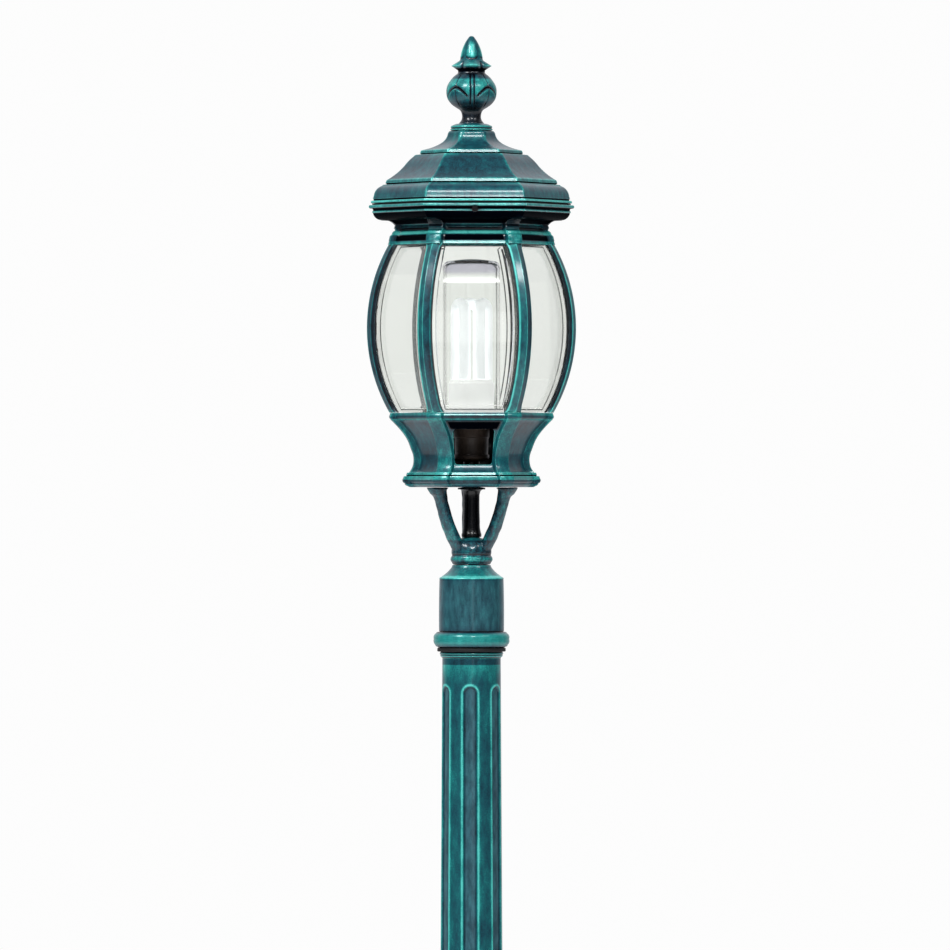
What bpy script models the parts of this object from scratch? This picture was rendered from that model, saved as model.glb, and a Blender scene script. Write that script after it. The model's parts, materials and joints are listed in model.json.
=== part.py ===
"""Garden and street lamp post: a fluted, tapered column with a hexagonal lantern on a three-armed bracket.

Metres in Blender, millimetres in this file's numbers. +Z is up, the origin is the centre of the base's
underside, and -Y is the lantern's front face. Heights named *_UP are measured upwards from the top of the
column's shaft.
"""

import math

import bmesh
import bpy
from mathutils import Matrix, Vector

MM = 0.001

# Driving dimensions
TOTAL_HEIGHT = 2200.0
LANTERN_RISE = 640.7  # from the shaft's top to the finial's tip
POLE_TOP = TOTAL_HEIGHT - LANTERN_RISE
GAP = 0.3  # between pieces that rest on each other
SIDES = 6
ROUND_STEPS = 32
SMALL_STEPS = 16
FLAT_TO_CORNER = math.cos(math.pi / SIDES)

# Column
SHAFT_TOP_R = 30.1
SHAFT_TAPER = 0.00573  # growth of the radius per millimetre downwards
SHAFT_WALL = 4.0
SHAFT_FOOT = 104.0
SPIGOT_R = 24.6
SPIGOT_BORE_R = 20.6
SPIGOT_UP = 70.0
FLUTES = 6
FLUTE_WIDTH = 15.0
FLUTE_DEPTH = 2.0
FLUTE_TOP = POLE_TOP - 31.0
FLUTE_FOOT = 215.0
FLUTE_TURN = math.radians(-4.6)  # the column is clamped a little out of line with the lantern

# Base
FLANGE_R = 125.0
FLANGE_THICK = 12.0
BOLT_CIRCLE_R = 111.5
BOLT_HOLE_R = 5.5
BOLTS = 4
BASE_TOP = 170.0
BASE_SOCKET_R = 39.0
BASE_SCREW_AT = 151.0
BASE_SCREW_ANGLES = [math.radians(a) for a in (60.0, 120.0)]

# Lantern
SLEEVE_BORE_R = 25.4
SLEEVE_SCREW_UP = 46.0
SLEEVE_SCREW_ANGLES = [math.radians(a) for a in (50.0, 130.0)]
HUB_R = 20.7
ARM_ANGLES = [math.radians(a) for a in (-30.0, 90.0, 210.0)]
ARM_THICK = 10.2
ARM_WIDE = 17.8
ARM_PATH = [(40.0, 178.0), (36.2, 162.0), (31.0, 144.0), (23.0, 126.0), (13.0, 110.0)]  # radius, height
BELL_FLOOR_UP = 180.2
BELL_FOOT_UP = 175.9
BELL_TOP_UP = 252.4
BELL_RING_R = 84.9
CAGE_FOOT_UP = BELL_TOP_UP + GAP
CROWN_FOOT_UP = 426.4
CAGE_TOP_UP = CROWN_FOOT_UP - GAP
RIB_MAX_R = 107.8
RIB_MID_UP = 339.9
RIB_BULGE_R = 175.4
RIB_DEPTH = 8.2
RIB_WIDE = 15.5
GLASS_THICK = 2.5
FLANGE_TOP_UP = 466.4
ROOF_FOOT_UP = 468.2
ROOF_TOP_UP = 543.0
CAP_TOP_UP = 550.3
FINIAL_FOOT_UP = CAP_TOP_UP + GAP
LEAVES = 4
STUD_R = 3.9
SCREW_UP = 460.4
WINDOW_ANGLES = [math.radians(a) for a in (-90.0, 30.0, 150.0)]

# Lamp
CONDUIT_R = 8.6
CONDUIT_BORE_R = 6.4
CABLE_R = 3.2
HOLDER_FOOT_UP = 203.0
HOLDER_TOP_UP = 236.0
JAR_R = 29.3
JAR_WALL = 2.3
JAR_TOP_UP = 411.0
TRAY_UP = 247.6
LAMP_TUBE_R = 6.0
LAMP_TUBE_TOP_UP = 371.0
BALLAST_TOP_UP = 287.0


def clear_scene():
    for obj in list(bpy.data.objects):
        bpy.data.objects.remove(obj)


def new_collection(name):
    made = bpy.data.collections.new(name)
    bpy.context.scene.collection.children.link(made)
    return made


def material(name, colour, roughness, metallic=0.0, alpha=1.0):
    made = bpy.data.materials.new(name)
    made.use_nodes = True
    shader = made.node_tree.nodes["Principled BSDF"]
    shader.inputs["Base Color"].default_value = (*colour, 1.0)
    shader.inputs["Roughness"].default_value = roughness
    shader.inputs["Metallic"].default_value = metallic
    shader.inputs["Alpha"].default_value = alpha
    return made


clear_scene()
PARTS = new_collection("street_lamp_post")
CUTTERS = new_collection("cutters")
PATINA = material("verdigris_paint", (0.02, 0.11, 0.12), 0.35, 0.4)
STEEL = material("zinc_steel", (0.55, 0.56, 0.58), 0.35, 1.0)
BRASS = material("brass", (0.72, 0.53, 0.25), 0.3, 1.0)
RUBBER = material("black_rubber", (0.02, 0.02, 0.02), 0.8)
BAKELITE = material("brown_bakelite", (0.035, 0.028, 0.025), 0.4)
CLEAR = material("clear_panel", (0.9, 0.92, 0.9), 0.05, 0.0, 0.2)
BLACK = material("black_paint", (0.012, 0.012, 0.014), 0.3)
LAMP_WHITE = material("white_plastic", (0.85, 0.85, 0.83), 0.4)
LAMP_GLASS = material("lamp_tube", (0.95, 0.95, 0.95), 0.25)


# Shape helpers


def up(height):
    """The height above the ground of a level measured from the shaft's top."""
    return POLE_TOP + height


def arc(start, end, bulge, steps=4):
    """Points of a circular arc after start, up to and with end. On a profile that runs down its outer side,
    a positive bulge swells outwards and a negative one is a cove."""
    a = Vector(start)
    b = Vector(end)
    chord = b - a
    half = chord.length / 2
    radius = (half * half + bulge * bulge) / (2 * abs(bulge))
    out = Vector((-chord.y, chord.x)).normalized() * math.copysign(1.0, bulge)
    centre = (a + b) / 2 - out * (radius - abs(bulge))
    first = math.atan2(a.y - centre.y, a.x - centre.x)
    last = math.atan2(b.y - centre.y, b.x - centre.x)
    sweep = math.remainder(last - first, 2 * math.pi)
    angles = [first + sweep * i / steps for i in range(1, steps + 1)]
    return [(centre.x + radius * math.cos(t), centre.y + radius * math.sin(t)) for t in angles]


def raised(profile):
    """A profile whose heights are measured from the shaft's top, as heights above the ground."""
    return [(r, up(z)) for r, z in profile]


def rib_outer(height_up):
    """Radius of the ribs' outer face at a height above the shaft's top."""
    rise = height_up - RIB_MID_UP
    return RIB_MAX_R - RIB_BULGE_R + math.sqrt(RIB_BULGE_R**2 - rise**2)


def glass_corner(height_up):
    """Radius at which the outer faces of two neighbouring panels would meet."""
    return rib_outer(height_up) - RIB_DEPTH - GAP


def shaft_radius(height):
    return SHAFT_TOP_R + (POLE_TOP - height) * SHAFT_TAPER


def add_object(name, data, finish=None, collection=PARTS):
    obj = bpy.data.objects.new(name, data)
    collection.objects.link(obj)
    if finish:
        data.materials.append(finish)
    if collection is CUTTERS:
        obj.hide_render = True
        obj.display_type = "WIRE"
    return obj


def smooth(mesh):
    """Smooth shading, with a crease at every edge sharper than a round piece's facets."""
    mesh.shade_smooth()
    mesh.set_sharp_from_angle(angle=math.radians(40.0))


def turned(name, profile, steps, finish=None, collection=PARTS, closed=True):
    """A turned or, with six steps, a hexagonal piece. Its profile in millimetres runs down its outer side."""
    mesh = bpy.data.meshes.new(name)
    count = len(profile)
    links = [(i, i + 1) for i in range(count - 1)]
    if closed:
        links.append((count - 1, 0))
    mesh.from_pydata([(r * MM, 0.0, z * MM) for r, z in profile], links, [])
    obj = add_object(name, mesh, finish, collection)
    screw = obj.modifiers.new("turn", "SCREW")
    screw.steps = steps
    screw.render_steps = steps
    screw.use_merge_vertices = True
    screw.merge_threshold = 0.00005
    screw.use_smooth_shade = steps > SIDES
    return obj


def shaped(name, build, finish=None, collection=PARTS):
    """An object whose mesh is filled by build(bm), which works in metres."""
    mesh = bpy.data.meshes.new(name)
    bm = bmesh.new()
    build(bm)
    bm.to_mesh(mesh)
    bm.free()
    smooth(mesh)
    return add_object(name, mesh, finish, collection)


def cylinder(name, radius, low, high, steps, finish=None, collection=PARTS):
    """An upright round bar between two heights above the ground."""

    def build(bm):
        move = Matrix.Translation((0, 0, (low + high) / 2 * MM))
        bmesh.ops.create_cone(
            bm, cap_ends=True, segments=steps, radius1=radius * MM, radius2=radius * MM,
            depth=(high - low) * MM, matrix=move,
        )

    return shaped(name, build, finish, collection)


def box(name, size, centre, finish=None, collection=PARTS):
    def build(bm):
        scale = Matrix.Diagonal((*[s * MM for s in size], 1.0))
        move = Matrix.Translation([c * MM for c in centre])
        bmesh.ops.create_cube(bm, size=1.0, matrix=move @ scale)

    return shaped(name, build, finish, collection)


def to_mesh(curve, name, finish=None, collection=PARTS):
    """Replaces a curve by a closed mesh in the same place."""
    bpy.context.view_layer.update()
    graph = bpy.context.evaluated_depsgraph_get()
    mesh = bpy.data.meshes.new_from_object(curve.evaluated_get(graph))
    mesh.transform(curve.matrix_world)
    bm = bmesh.new()
    bm.from_mesh(mesh)
    bmesh.ops.remove_doubles(bm, verts=bm.verts, dist=0.00002)
    bmesh.ops.recalc_face_normals(bm, faces=bm.faces)
    bm.to_mesh(mesh)
    bm.free()
    bpy.data.objects.remove(curve)
    mesh.materials.clear()
    smooth(mesh)
    return add_object(name, mesh, finish, collection)


def combine(obj, other, operation):
    boolean = obj.modifiers.new(operation.lower(), "BOOLEAN")
    boolean.operation = operation
    boolean.object = other
    return obj


def turn_about_z(obj, angle):
    obj.rotation_euler = (0.0, 0.0, angle)
    return obj


def lying_pin(name, profile, steps, angle, height, finish):
    """A turned piece laid on its side: its own +Z points outwards at the angle, at that height."""
    pin = turned(name, profile, steps, finish, closed=False)
    pin.matrix_world = (
        Matrix.Translation((0, 0, height * MM))
        @ Matrix.Rotation(angle, 4, "Z")
        @ Matrix.Rotation(math.pi / 2, 4, "Y")
    )
    return pin


def screw_profile(tip, head_at, head_end, shank_r, head_r):
    """Profile of a headed screw along its own +Z, from its tip out to its head."""
    chamfer = 0.6
    return [
        (0, head_end), (head_r - chamfer, head_end), (head_r, head_end - chamfer), (head_r, head_at),
        (shank_r, head_at), (shank_r, tip + chamfer), (shank_r - chamfer, tip), (0, tip),
    ]


def drill_across(obj, name, radius, inner, outer, angle, height):
    """A round hole through one wall, along the angle, between two distances from the axis."""
    profile = [(0, outer), (radius, outer), (radius, inner), (0, inner)]
    cutter = lying_pin(name, profile, SMALL_STEPS, angle, height, None)
    PARTS.objects.unlink(cutter)
    CUTTERS.objects.link(cutter)
    cutter.hide_render = True
    cutter.display_type = "WIRE"
    return combine(obj, cutter, "DIFFERENCE")


# Base and column


def make_base():
    """Bell-shaped base casting: a bolted flange, an ogee bell, and a neck that takes the shaft."""
    ledge = SHAFT_FOOT - GAP
    outer = [(43.0, BASE_TOP), (45.5, BASE_TOP - 1.5)]
    outer += arc(outer[-1], (45.5, 160.5), 2.4, 3)
    outer += arc(outer[-1], (47.5, 134.0), -2.6, 3)
    outer += [(51.5, 133.0)]
    outer += arc(outer[-1], (51.5, 115.0), 7.0, 4)
    outer += [(50.0, 113.5)]
    outer += arc(outer[-1], (74.0, 60.0), -9.0, 4)
    outer += arc(outer[-1], (95.0, 24.0), 5.5, 3)
    outer += [(95.0, 19.5), (98.5, 18.0), (98.5, FLANGE_THICK), (FLANGE_R - 2.0, FLANGE_THICK)]
    outer += [(FLANGE_R, FLANGE_THICK - 2.0), (FLANGE_R, 0.0)]
    inner = [(86.0, 0.0), (86.0, 22.0), (43.0, 92.0), (33.0, 98.0), (33.0, ledge)]
    inner += [(BASE_SOCKET_R, ledge), (BASE_SOCKET_R, BASE_TOP)]
    base = turned("base_casting", outer + inner, ROUND_STEPS, PATINA)
    for i in range(BOLTS):
        angle = math.pi / BOLTS + i * 2 * math.pi / BOLTS
        top = FLANGE_THICK + 5.0
        hole = cylinder(f"bolt_hole_{i + 1}", BOLT_HOLE_R, -5.0, top, SMALL_STEPS, None, CUTTERS)
        hole.location = (BOLT_CIRCLE_R * MM * math.cos(angle), BOLT_CIRCLE_R * MM * math.sin(angle), 0.0)
        combine(base, hole, "DIFFERENCE")
        make_anchor(i + 1, angle)
    for i, angle in enumerate(BASE_SCREW_ANGLES):
        drill_across(base, f"base_screw_hole_{i + 1}", 3.4, 35.0, 60.0, angle, BASE_SCREW_AT)
        profile = screw_profile(shaft_radius(BASE_SCREW_AT) + 0.5, 49.3, 52.0, 3.0, 4.6)
        lying_pin(f"base_grub_screw_{i + 1}", profile, SMALL_STEPS, angle, BASE_SCREW_AT, STEEL)
    return base


def make_anchor(number, angle):
    """A foundation bolt in one of the flange's holes, with a domed, flanged nut."""
    centre = (BOLT_CIRCLE_R * MM * math.cos(angle), BOLT_CIRCLE_R * MM * math.sin(angle), 0.0)
    seat = FLANGE_THICK + GAP
    stud = [(0.0, seat + 19.0)]
    stud += arc(stud[-1], (7.2, seat + 12.0), 2.6, 3)
    stud += [(7.2, seat + 2.0), (10.0, seat + 2.0), (10.0, seat), (4.9, seat), (4.9, 0.6), (0.0, 0.6)]
    bolt = turned(f"anchor_bolt_{number}", stud, 12, STEEL, closed=False)
    bolt.location = centre
    hexagon = cylinder(f"nut_hexagon_{number}", 9.2, seat + 1.0, seat + 10.5, 6, None, CUTTERS)
    hexagon.location = centre
    combine(bolt, hexagon, "UNION")


def stadium(name, width, low, high, thick):
    """Cutter for one flute: a slot with round ends, standing on the XZ plane and thick along Y."""
    curve = bpy.data.curves.new(name, "CURVE")
    curve.dimensions = "2D"
    curve.fill_mode = "BOTH"
    curve.extrude = thick / 2 * MM
    radius = width / 2
    points = []
    for centre, first in ((high - radius, 0.0), (low + radius, math.pi)):
        points += [
            (radius * math.cos(first + math.pi * i / 6), centre + radius * math.sin(first + math.pi * i / 6))
            for i in range(7)
        ]
    spline = curve.splines.new("POLY")
    spline.points.add(len(points) - 1)
    for point, (x, z) in zip(spline.points, points):
        point.co = (x * MM, z * MM, 0.0, 1.0)
    spline.use_cyclic_u = True
    obj = add_object(name, curve)
    obj.rotation_euler = (math.pi / 2, 0.0, 0.0)
    return to_mesh(obj, name, None, CUTTERS)


def make_shaft():
    """Tapered tube with a plain spigot on top and six round-ended flutes."""
    foot_r = shaft_radius(SHAFT_FOOT)
    profile = [
        (SPIGOT_R - 1.0, up(SPIGOT_UP)), (SPIGOT_R, up(SPIGOT_UP - 1.0)), (SPIGOT_R, POLE_TOP),
        (SHAFT_TOP_R, POLE_TOP), (foot_r, SHAFT_FOOT), (foot_r - SHAFT_WALL, SHAFT_FOOT),
        (shaft_radius(POLE_TOP - 8.0) - SHAFT_WALL, POLE_TOP - 8.0), (SPIGOT_BORE_R, POLE_TOP - 4.0),
        (SPIGOT_BORE_R, up(SPIGOT_UP)),
    ]
    shaft = turned("pole_shaft", profile, 36, PATINA)
    length = FLUTE_TOP - FLUTE_FOOT
    middle = (FLUTE_TOP + FLUTE_FOOT) / 2
    thick = 10.0
    for i in range(FLUTES):
        cutter = stadium(f"flute_{i + 1}", FLUTE_WIDTH, -length / 2, length / 2, thick)
        turn = FLUTE_TURN + i * 2 * math.pi / FLUTES
        outwards = shaft_radius(middle) - FLUTE_DEPTH + thick / 2
        cutter.matrix_world = (
            Matrix.Rotation(turn, 4, "Z")
            @ Matrix.Translation((0, -outwards * MM, middle * MM))
            @ Matrix.Rotation(-math.atan(SHAFT_TAPER), 4, "X")
        )
        combine(shaft, cutter, "DIFFERENCE")
    return shaft


def make_column_head():
    """The rings between the shaft and the lantern's sleeve: a capital and a black gasket."""
    low = up(GAP)
    capital = [(30.6, up(6.5)), (31.6, up(6.2))]
    capital += arc(capital[-1], (31.4, up(1.2)), 1.0, 3)
    capital += [(30.2, low), (SLEEVE_BORE_R, low), (SLEEVE_BORE_R, up(6.5))]
    turned("pole_capital", capital, ROUND_STEPS, PATINA)
    gasket = [(34.9, 10.5), (35.4, 10.0), (35.4, 7.3), (34.9, 6.8)]
    gasket += [(SLEEVE_BORE_R, 6.8), (SLEEVE_BORE_R, 10.5)]
    turned("collar_gasket", raised(gasket), ROUND_STEPS, RUBBER)


def make_cable():
    """Supply cable on the axis, from its sealed joint in the base to the lamp holder."""
    cylinder("supply_cable", CABLE_R, 82.0, up(HOLDER_FOOT_UP + 2.0), 12, RUBBER)
    joint = [(0.0, 81.5), (5.0, 81.5), (9.0, 74.0), (12.0, 70.0)]
    joint += [(12.0, 34.0), (9.0, 30.0), (5.0, 22.0), (0.0, 22.0)]
    turned("cable_joint", joint, SMALL_STEPS, RUBBER, closed=False)


# Lantern bracket


def make_sleeve():
    """Collar ring and sleeve that slip over the spigot, with the two screws that clamp them."""
    ring = raised([(33.5, 27.0)])
    ring += arc(ring[-1], (35.0, up(10.9)), 4.7, 8)
    ring += raised([(SLEEVE_BORE_R, 10.9), (SLEEVE_BORE_R, 27.0)])
    turned("collar_ring", ring, ROUND_STEPS, PATINA)
    sleeve = [(19.6, 96.0), (20.3, 95.4), (22.3, 92.0)]
    sleeve += arc(sleeve[-1], (32.0, 82.8), -0.8, 3)
    sleeve += [(33.0, 81.4), (33.6, 27.9), (33.0, 27.3), (SLEEVE_BORE_R, 27.3), (SLEEVE_BORE_R, 74.0)]
    sleeve += [(8.0, 80.0), (8.0, 96.0)]
    body = turned("socket_sleeve", raised(sleeve), ROUND_STEPS, PATINA)
    for i, angle in enumerate(SLEEVE_SCREW_ANGLES):
        height = up(SLEEVE_SCREW_UP)
        drill_across(body, f"sleeve_screw_hole_{i + 1}", 3.4, 20.0, 45.0, angle, height)
        profile = screw_profile(SPIGOT_R + 0.5, 34.2, 37.0, 3.0, 4.6)
        lying_pin(f"sleeve_grub_screw_{i + 1}", profile, SMALL_STEPS, angle, height, STEEL)


def arm_bar(name):
    """One arm along +X: a round bar bent in the XZ plane, then widened across it."""
    curve = bpy.data.curves.new(name, "CURVE")
    curve.dimensions = "3D"
    curve.bevel_depth = ARM_THICK / 2 * MM
    curve.bevel_resolution = 2
    curve.resolution_u = 3
    curve.use_fill_caps = True
    spline = curve.splines.new("BEZIER")
    spline.bezier_points.add(len(ARM_PATH) - 1)
    for point, (r, z) in zip(spline.bezier_points, ARM_PATH):
        point.co = (r * MM, 0.0, z * MM)
        point.handle_left_type = "AUTO"
        point.handle_right_type = "AUTO"
    obj = add_object(name, curve)
    obj.scale = (1.0, ARM_WIDE / ARM_THICK, 1.0)
    return to_mesh(obj, name, None, CUTTERS)


def make_bracket():
    """Hub with a bead, three curved arms, and a pad on each arm under the bell's floor."""
    pad_low, pad_high = 171.8, BELL_FOOT_UP - GAP
    hub = [(13.0, 123.0), (15.0, 122.0), (19.6, 116.5), (HUB_R, 114.5), (HUB_R, 107.5), (20.1, 105.6)]
    hub += arc(hub[-1], (20.1, 98.2), 1.5, 4)
    hub += [(19.6, 96.3), (CONDUIT_R + 0.4, 96.3), (CONDUIT_R + 0.4, 123.0)]
    bracket = turned("bracket_casting", raised(hub), ROUND_STEPS, PATINA)
    trim = cylinder("arm_top_trim", 70.0, up(pad_high), up(pad_high + 20.0), SMALL_STEPS, None, CUTTERS)
    bore = cylinder("arm_foot_trim", CONDUIT_R + 0.6, up(90.0), up(140.0), SMALL_STEPS, None, CUTTERS)
    for i, angle in enumerate(ARM_ANGLES):
        arm = turn_about_z(arm_bar(f"arm_{i + 1}"), angle)
        arm.location.z = POLE_TOP * MM
        pad = box(f"arm_pad_{i + 1}", (20.0, 19.0, pad_high - pad_low),
                  (40.5, 0.0, up((pad_low + pad_high) / 2)), None, CUTTERS)
        turn_about_z(pad, angle)
        combine(bracket, arm, "UNION")
        combine(bracket, pad, "UNION")
    combine(bracket, trim, "DIFFERENCE")
    combine(bracket, bore, "DIFFERENCE")
    for i, angle in enumerate(ARM_ANGLES):
        make_bracket_bolt(i + 1, angle)
    return bracket


def make_bracket_bolt(number, angle):
    """Hexagon-headed bolt on the bell's floor, over one arm."""
    seat = up(BELL_FLOOR_UP + GAP)
    bolt = cylinder(f"bracket_bolt_{number}", 5.0, seat, seat + 4.2, 6, STEEL)
    bolt.location = (40.0 * MM * math.cos(angle), 40.0 * MM * math.sin(angle), 0.0)


def make_conduit():
    """Threaded tube from the hub up to the lamp holder, with the nut that holds the bell's floor."""
    low, high = up(97.0), up(HOLDER_FOOT_UP - GAP)
    ring = [(CONDUIT_R, high), (CONDUIT_R, low), (CONDUIT_BORE_R, low), (CONDUIT_BORE_R, high)]
    turned("wire_conduit", ring, 20, BLACK)
    low, high = up(BELL_FLOOR_UP + GAP), up(BELL_FLOOR_UP + 6.0)
    nut = cylinder("conduit_nut", 14.0, low, high, 6, BRASS)
    bore = cylinder("conduit_nut_bore", CONDUIT_R + 0.4, low - 5.0, high + 5.0, 20, None, CUTTERS)
    combine(nut, bore, "DIFFERENCE")


# Lantern body


def make_bell():
    """Hollow hexagonal bell with a floor, a coved side, and windows in three of its faces."""
    outer = [(BELL_RING_R - 0.8, BELL_TOP_UP), (BELL_RING_R, BELL_TOP_UP - 0.8)]
    outer += [(BELL_RING_R, 246.6), (82.0, 243.6)]
    outer += arc(outer[-1], (59.9, 202.4), -7.2, 6)
    outer += arc(outer[-1], (65.2, 190.6), -2.0, 3)
    outer += [(67.4, 188.4)]
    outer += arc(outer[-1], (67.4, 178.4), 4.2, 4)
    outer += [(63.0, BELL_FOOT_UP), (0.0, BELL_FOOT_UP)]
    inner = [(0.0, BELL_FLOOR_UP), (55.0, BELL_FLOOR_UP), (56.0, 202.4)]
    inner += list(reversed(arc((77.5, 243.0), (56.0, 202.4), -7.0, 4)[:-1]))
    inner += [(75.0, 244.0), (75.0, TRAY_UP - GAP), (79.5, TRAY_UP - GAP), (79.5, BELL_TOP_UP)]
    profile = raised(inner + outer)
    bell = turned("bell_casting", profile, SIDES, PATINA, closed=False)
    bore = cylinder("bell_floor_bore", CONDUIT_R + 0.4, up(160.0), up(190.0), SMALL_STEPS, None, CUTTERS)
    combine(bell, bore, "DIFFERENCE")
    for i, angle in enumerate(WINDOW_ANGLES):
        combine(bell, window_cutter(f"window_{i + 1}", angle), "DIFFERENCE")
    return bell


def window_cutter(name, angle):
    """A tapered window, narrower at its foot, cut through one face of the bell."""
    low, high = 198.5, 236.5
    half_top, half_foot = 21.3, 19.0
    near, far = 35.0, 85.0

    def build(bm):
        bmesh.ops.create_cube(bm, size=2.0)
        for vertex in bm.verts:
            half = half_top if vertex.co.z > 0 else half_foot
            vertex.co = Vector((
                (far if vertex.co.x > 0 else near) * MM,
                half * MM * vertex.co.y,
                up(high if vertex.co.z > 0 else low) * MM,
            ))
        edges = [e for e in bm.edges if abs((e.verts[0].co - e.verts[1].co).normalized().x) > 0.99]
        bmesh.ops.bevel(bm, geom=edges, offset=3.5 * MM, segments=3, profile=0.5, affect="EDGES")

    return turn_about_z(shaped(name, build, None, CUTTERS), angle)


def make_ribs():
    """Six bowed ribs, one at each corner of the hexagon."""
    steps = 8
    heights = [CAGE_FOOT_UP + (CAGE_TOP_UP - CAGE_FOOT_UP) * i / steps for i in range(steps + 1)]
    outline = [(rib_outer(h), up(h)) for h in heights]
    outline += [(rib_outer(h) - RIB_DEPTH, up(h)) for h in reversed(heights)]
    for i in range(SIDES):
        curve = bpy.data.curves.new(f"rib_outline_{i + 1}", "CURVE")
        curve.dimensions = "2D"
        curve.fill_mode = "BOTH"
        curve.extrude = RIB_WIDE / 2 * MM
        spline = curve.splines.new("POLY")
        spline.points.add(len(outline) - 1)
        for point, (r, z) in zip(spline.points, outline):
            point.co = (r * MM, z * MM, 0.0, 1.0)
        spline.use_cyclic_u = True
        obj = add_object(f"rib_{i + 1}_outline", curve)
        obj.rotation_euler = (math.pi / 2, 0.0, i * 2 * math.pi / SIDES)
        to_mesh(obj, f"rib_{i + 1}", PATINA)


def make_panels():
    """Six clear panels, bowed like the ribs and held between them."""
    low, high = CAGE_FOOT_UP + 0.4, CAGE_TOP_UP - 0.4
    edge_gap = 2.0
    rows = 8
    for i in range(SIDES):

        def build(bm):
            bmesh.ops.create_grid(bm, x_segments=2, y_segments=rows, size=1.0)
            for vertex in bm.verts:
                height = low + (high - low) * (vertex.co.y + 1) / 2
                corner = glass_corner(height)
                across = vertex.co.x * (corner / 2 - edge_gap)
                vertex.co = Vector((corner * FLAT_TO_CORNER * MM, across * MM, up(height) * MM))
            bmesh.ops.recalc_face_normals(bm, faces=bm.faces)
            if bm.faces[0].normal.x < 0:
                bmesh.ops.reverse_faces(bm, faces=bm.faces)

        panel = shaped(f"glass_panel_{i + 1}", build, CLEAR)
        turn_about_z(panel, (i + 0.5) * 2 * math.pi / SIDES)
        solid = panel.modifiers.new("thickness", "SOLIDIFY")
        solid.thickness = GLASS_THICK * MM
        solid.offset = -1.0


def make_crown():
    """Hexagonal crown over the ribs: a ring, a cove, a bowl and the flange that carries the roof."""
    outer = [(104.4, FLANGE_TOP_UP), (106.0, FLANGE_TOP_UP - 1.0), (106.0, 462.6), (103.0, 461.6)]
    outer += arc(outer[-1], (93.0, 450.6), 2.0, 4)
    outer += arc(outer[-1], (79.3, 443.0), -2.4, 4)
    outer += arc(outer[-1], (84.2, 435.4), -1.6, 3)
    outer += [(86.2, 433.6), (86.2, 427.4), (85.2, CROWN_FOOT_UP)]
    inner = [(71.5, CROWN_FOOT_UP), (71.5, 440.0), (75.5, 445.6), (88.0, 452.8), (96.0, 457.0)]
    inner += [(96.0, FLANGE_TOP_UP)]
    crown = turned("crown_casting", raised(outer + inner), SIDES, PATINA)
    for i, angle in enumerate(WINDOW_ANGLES):
        drill_across(crown, f"crown_screw_hole_{i + 1}", 2.8, 75.0, 110.0, angle, up(SCREW_UP))
        profile = screw_profile(82.75, 92.1, 95.2, 2.3, 3.4)
        lying_pin(f"crown_screw_{i + 1}", profile, SMALL_STEPS, angle, up(SCREW_UP), BLACK)
    low, high = up(FLANGE_TOP_UP + GAP), up(ROOF_FOOT_UP - GAP)
    turned("roof_gasket", [(102.4, high), (102.4, low), (96.6, low), (96.6, high)], SIDES, RUBBER)


# Roof


def make_roof():
    """Three-tiered hexagonal roof shell with an inner skirt that drops into the crown."""
    outer = [(22.6, ROOF_TOP_UP), (24.0, 541.6)]
    outer += arc(outer[-1], (51.4, 522.6), -8.2, 6)
    outer += [(53.1, 522.0), (53.1, 519.2), (58.0, 517.6)]
    outer += arc(outer[-1], (69.5, 507.0), 0.8, 2)
    outer += arc(outer[-1], (87.2, 491.8), -0.8, 2)
    outer += [(88.8, 491.0), (88.8, 488.4), (91.0, 487.0)]
    outer += arc(outer[-1], (103.0, 471.5), 3.6, 4)
    outer += [(103.0, ROOF_FOOT_UP)]
    inner = [(95.2, ROOF_FOOT_UP), (95.2, 457.8), (92.2, 457.8), (92.2, 472.5), (97.2, 476.0), (94.5, 480.5)]
    inner += [(84.6, 487.6), (66.0, 504.2), (55.0, 514.0), (49.0, 516.0), (48.5, 519.4)]
    inner += list(reversed(arc((20.0, 538.0), (47.0, 520.4), -7.4, 4)[:-1]))
    inner += [(19.0, 539.4), (0.0, 539.4)]
    profile = raised([(0.0, ROOF_TOP_UP)] + outer + inner)
    roof = turned("roof_casting", profile, SIDES, PATINA, closed=False)
    bore = cylinder("roof_bore", STUD_R + 0.4, up(520.0), up(560.0), SMALL_STEPS, None, CUTTERS)
    combine(roof, bore, "DIFFERENCE")


def make_roof_cap():
    cap = [(13.0, CAP_TOP_UP)]
    cap += arc(cap[-1], (20.6, 547.2), 0.5, 3)
    cap += [(21.3, 546.4), (21.3, 544.4), (20.4, ROOF_TOP_UP + GAP)]
    cap += [(STUD_R + 0.4, ROOF_TOP_UP + GAP), (STUD_R + 0.4, CAP_TOP_UP)]
    turned("roof_cap_ring", raised(cap), ROUND_STEPS, PATINA)


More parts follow.
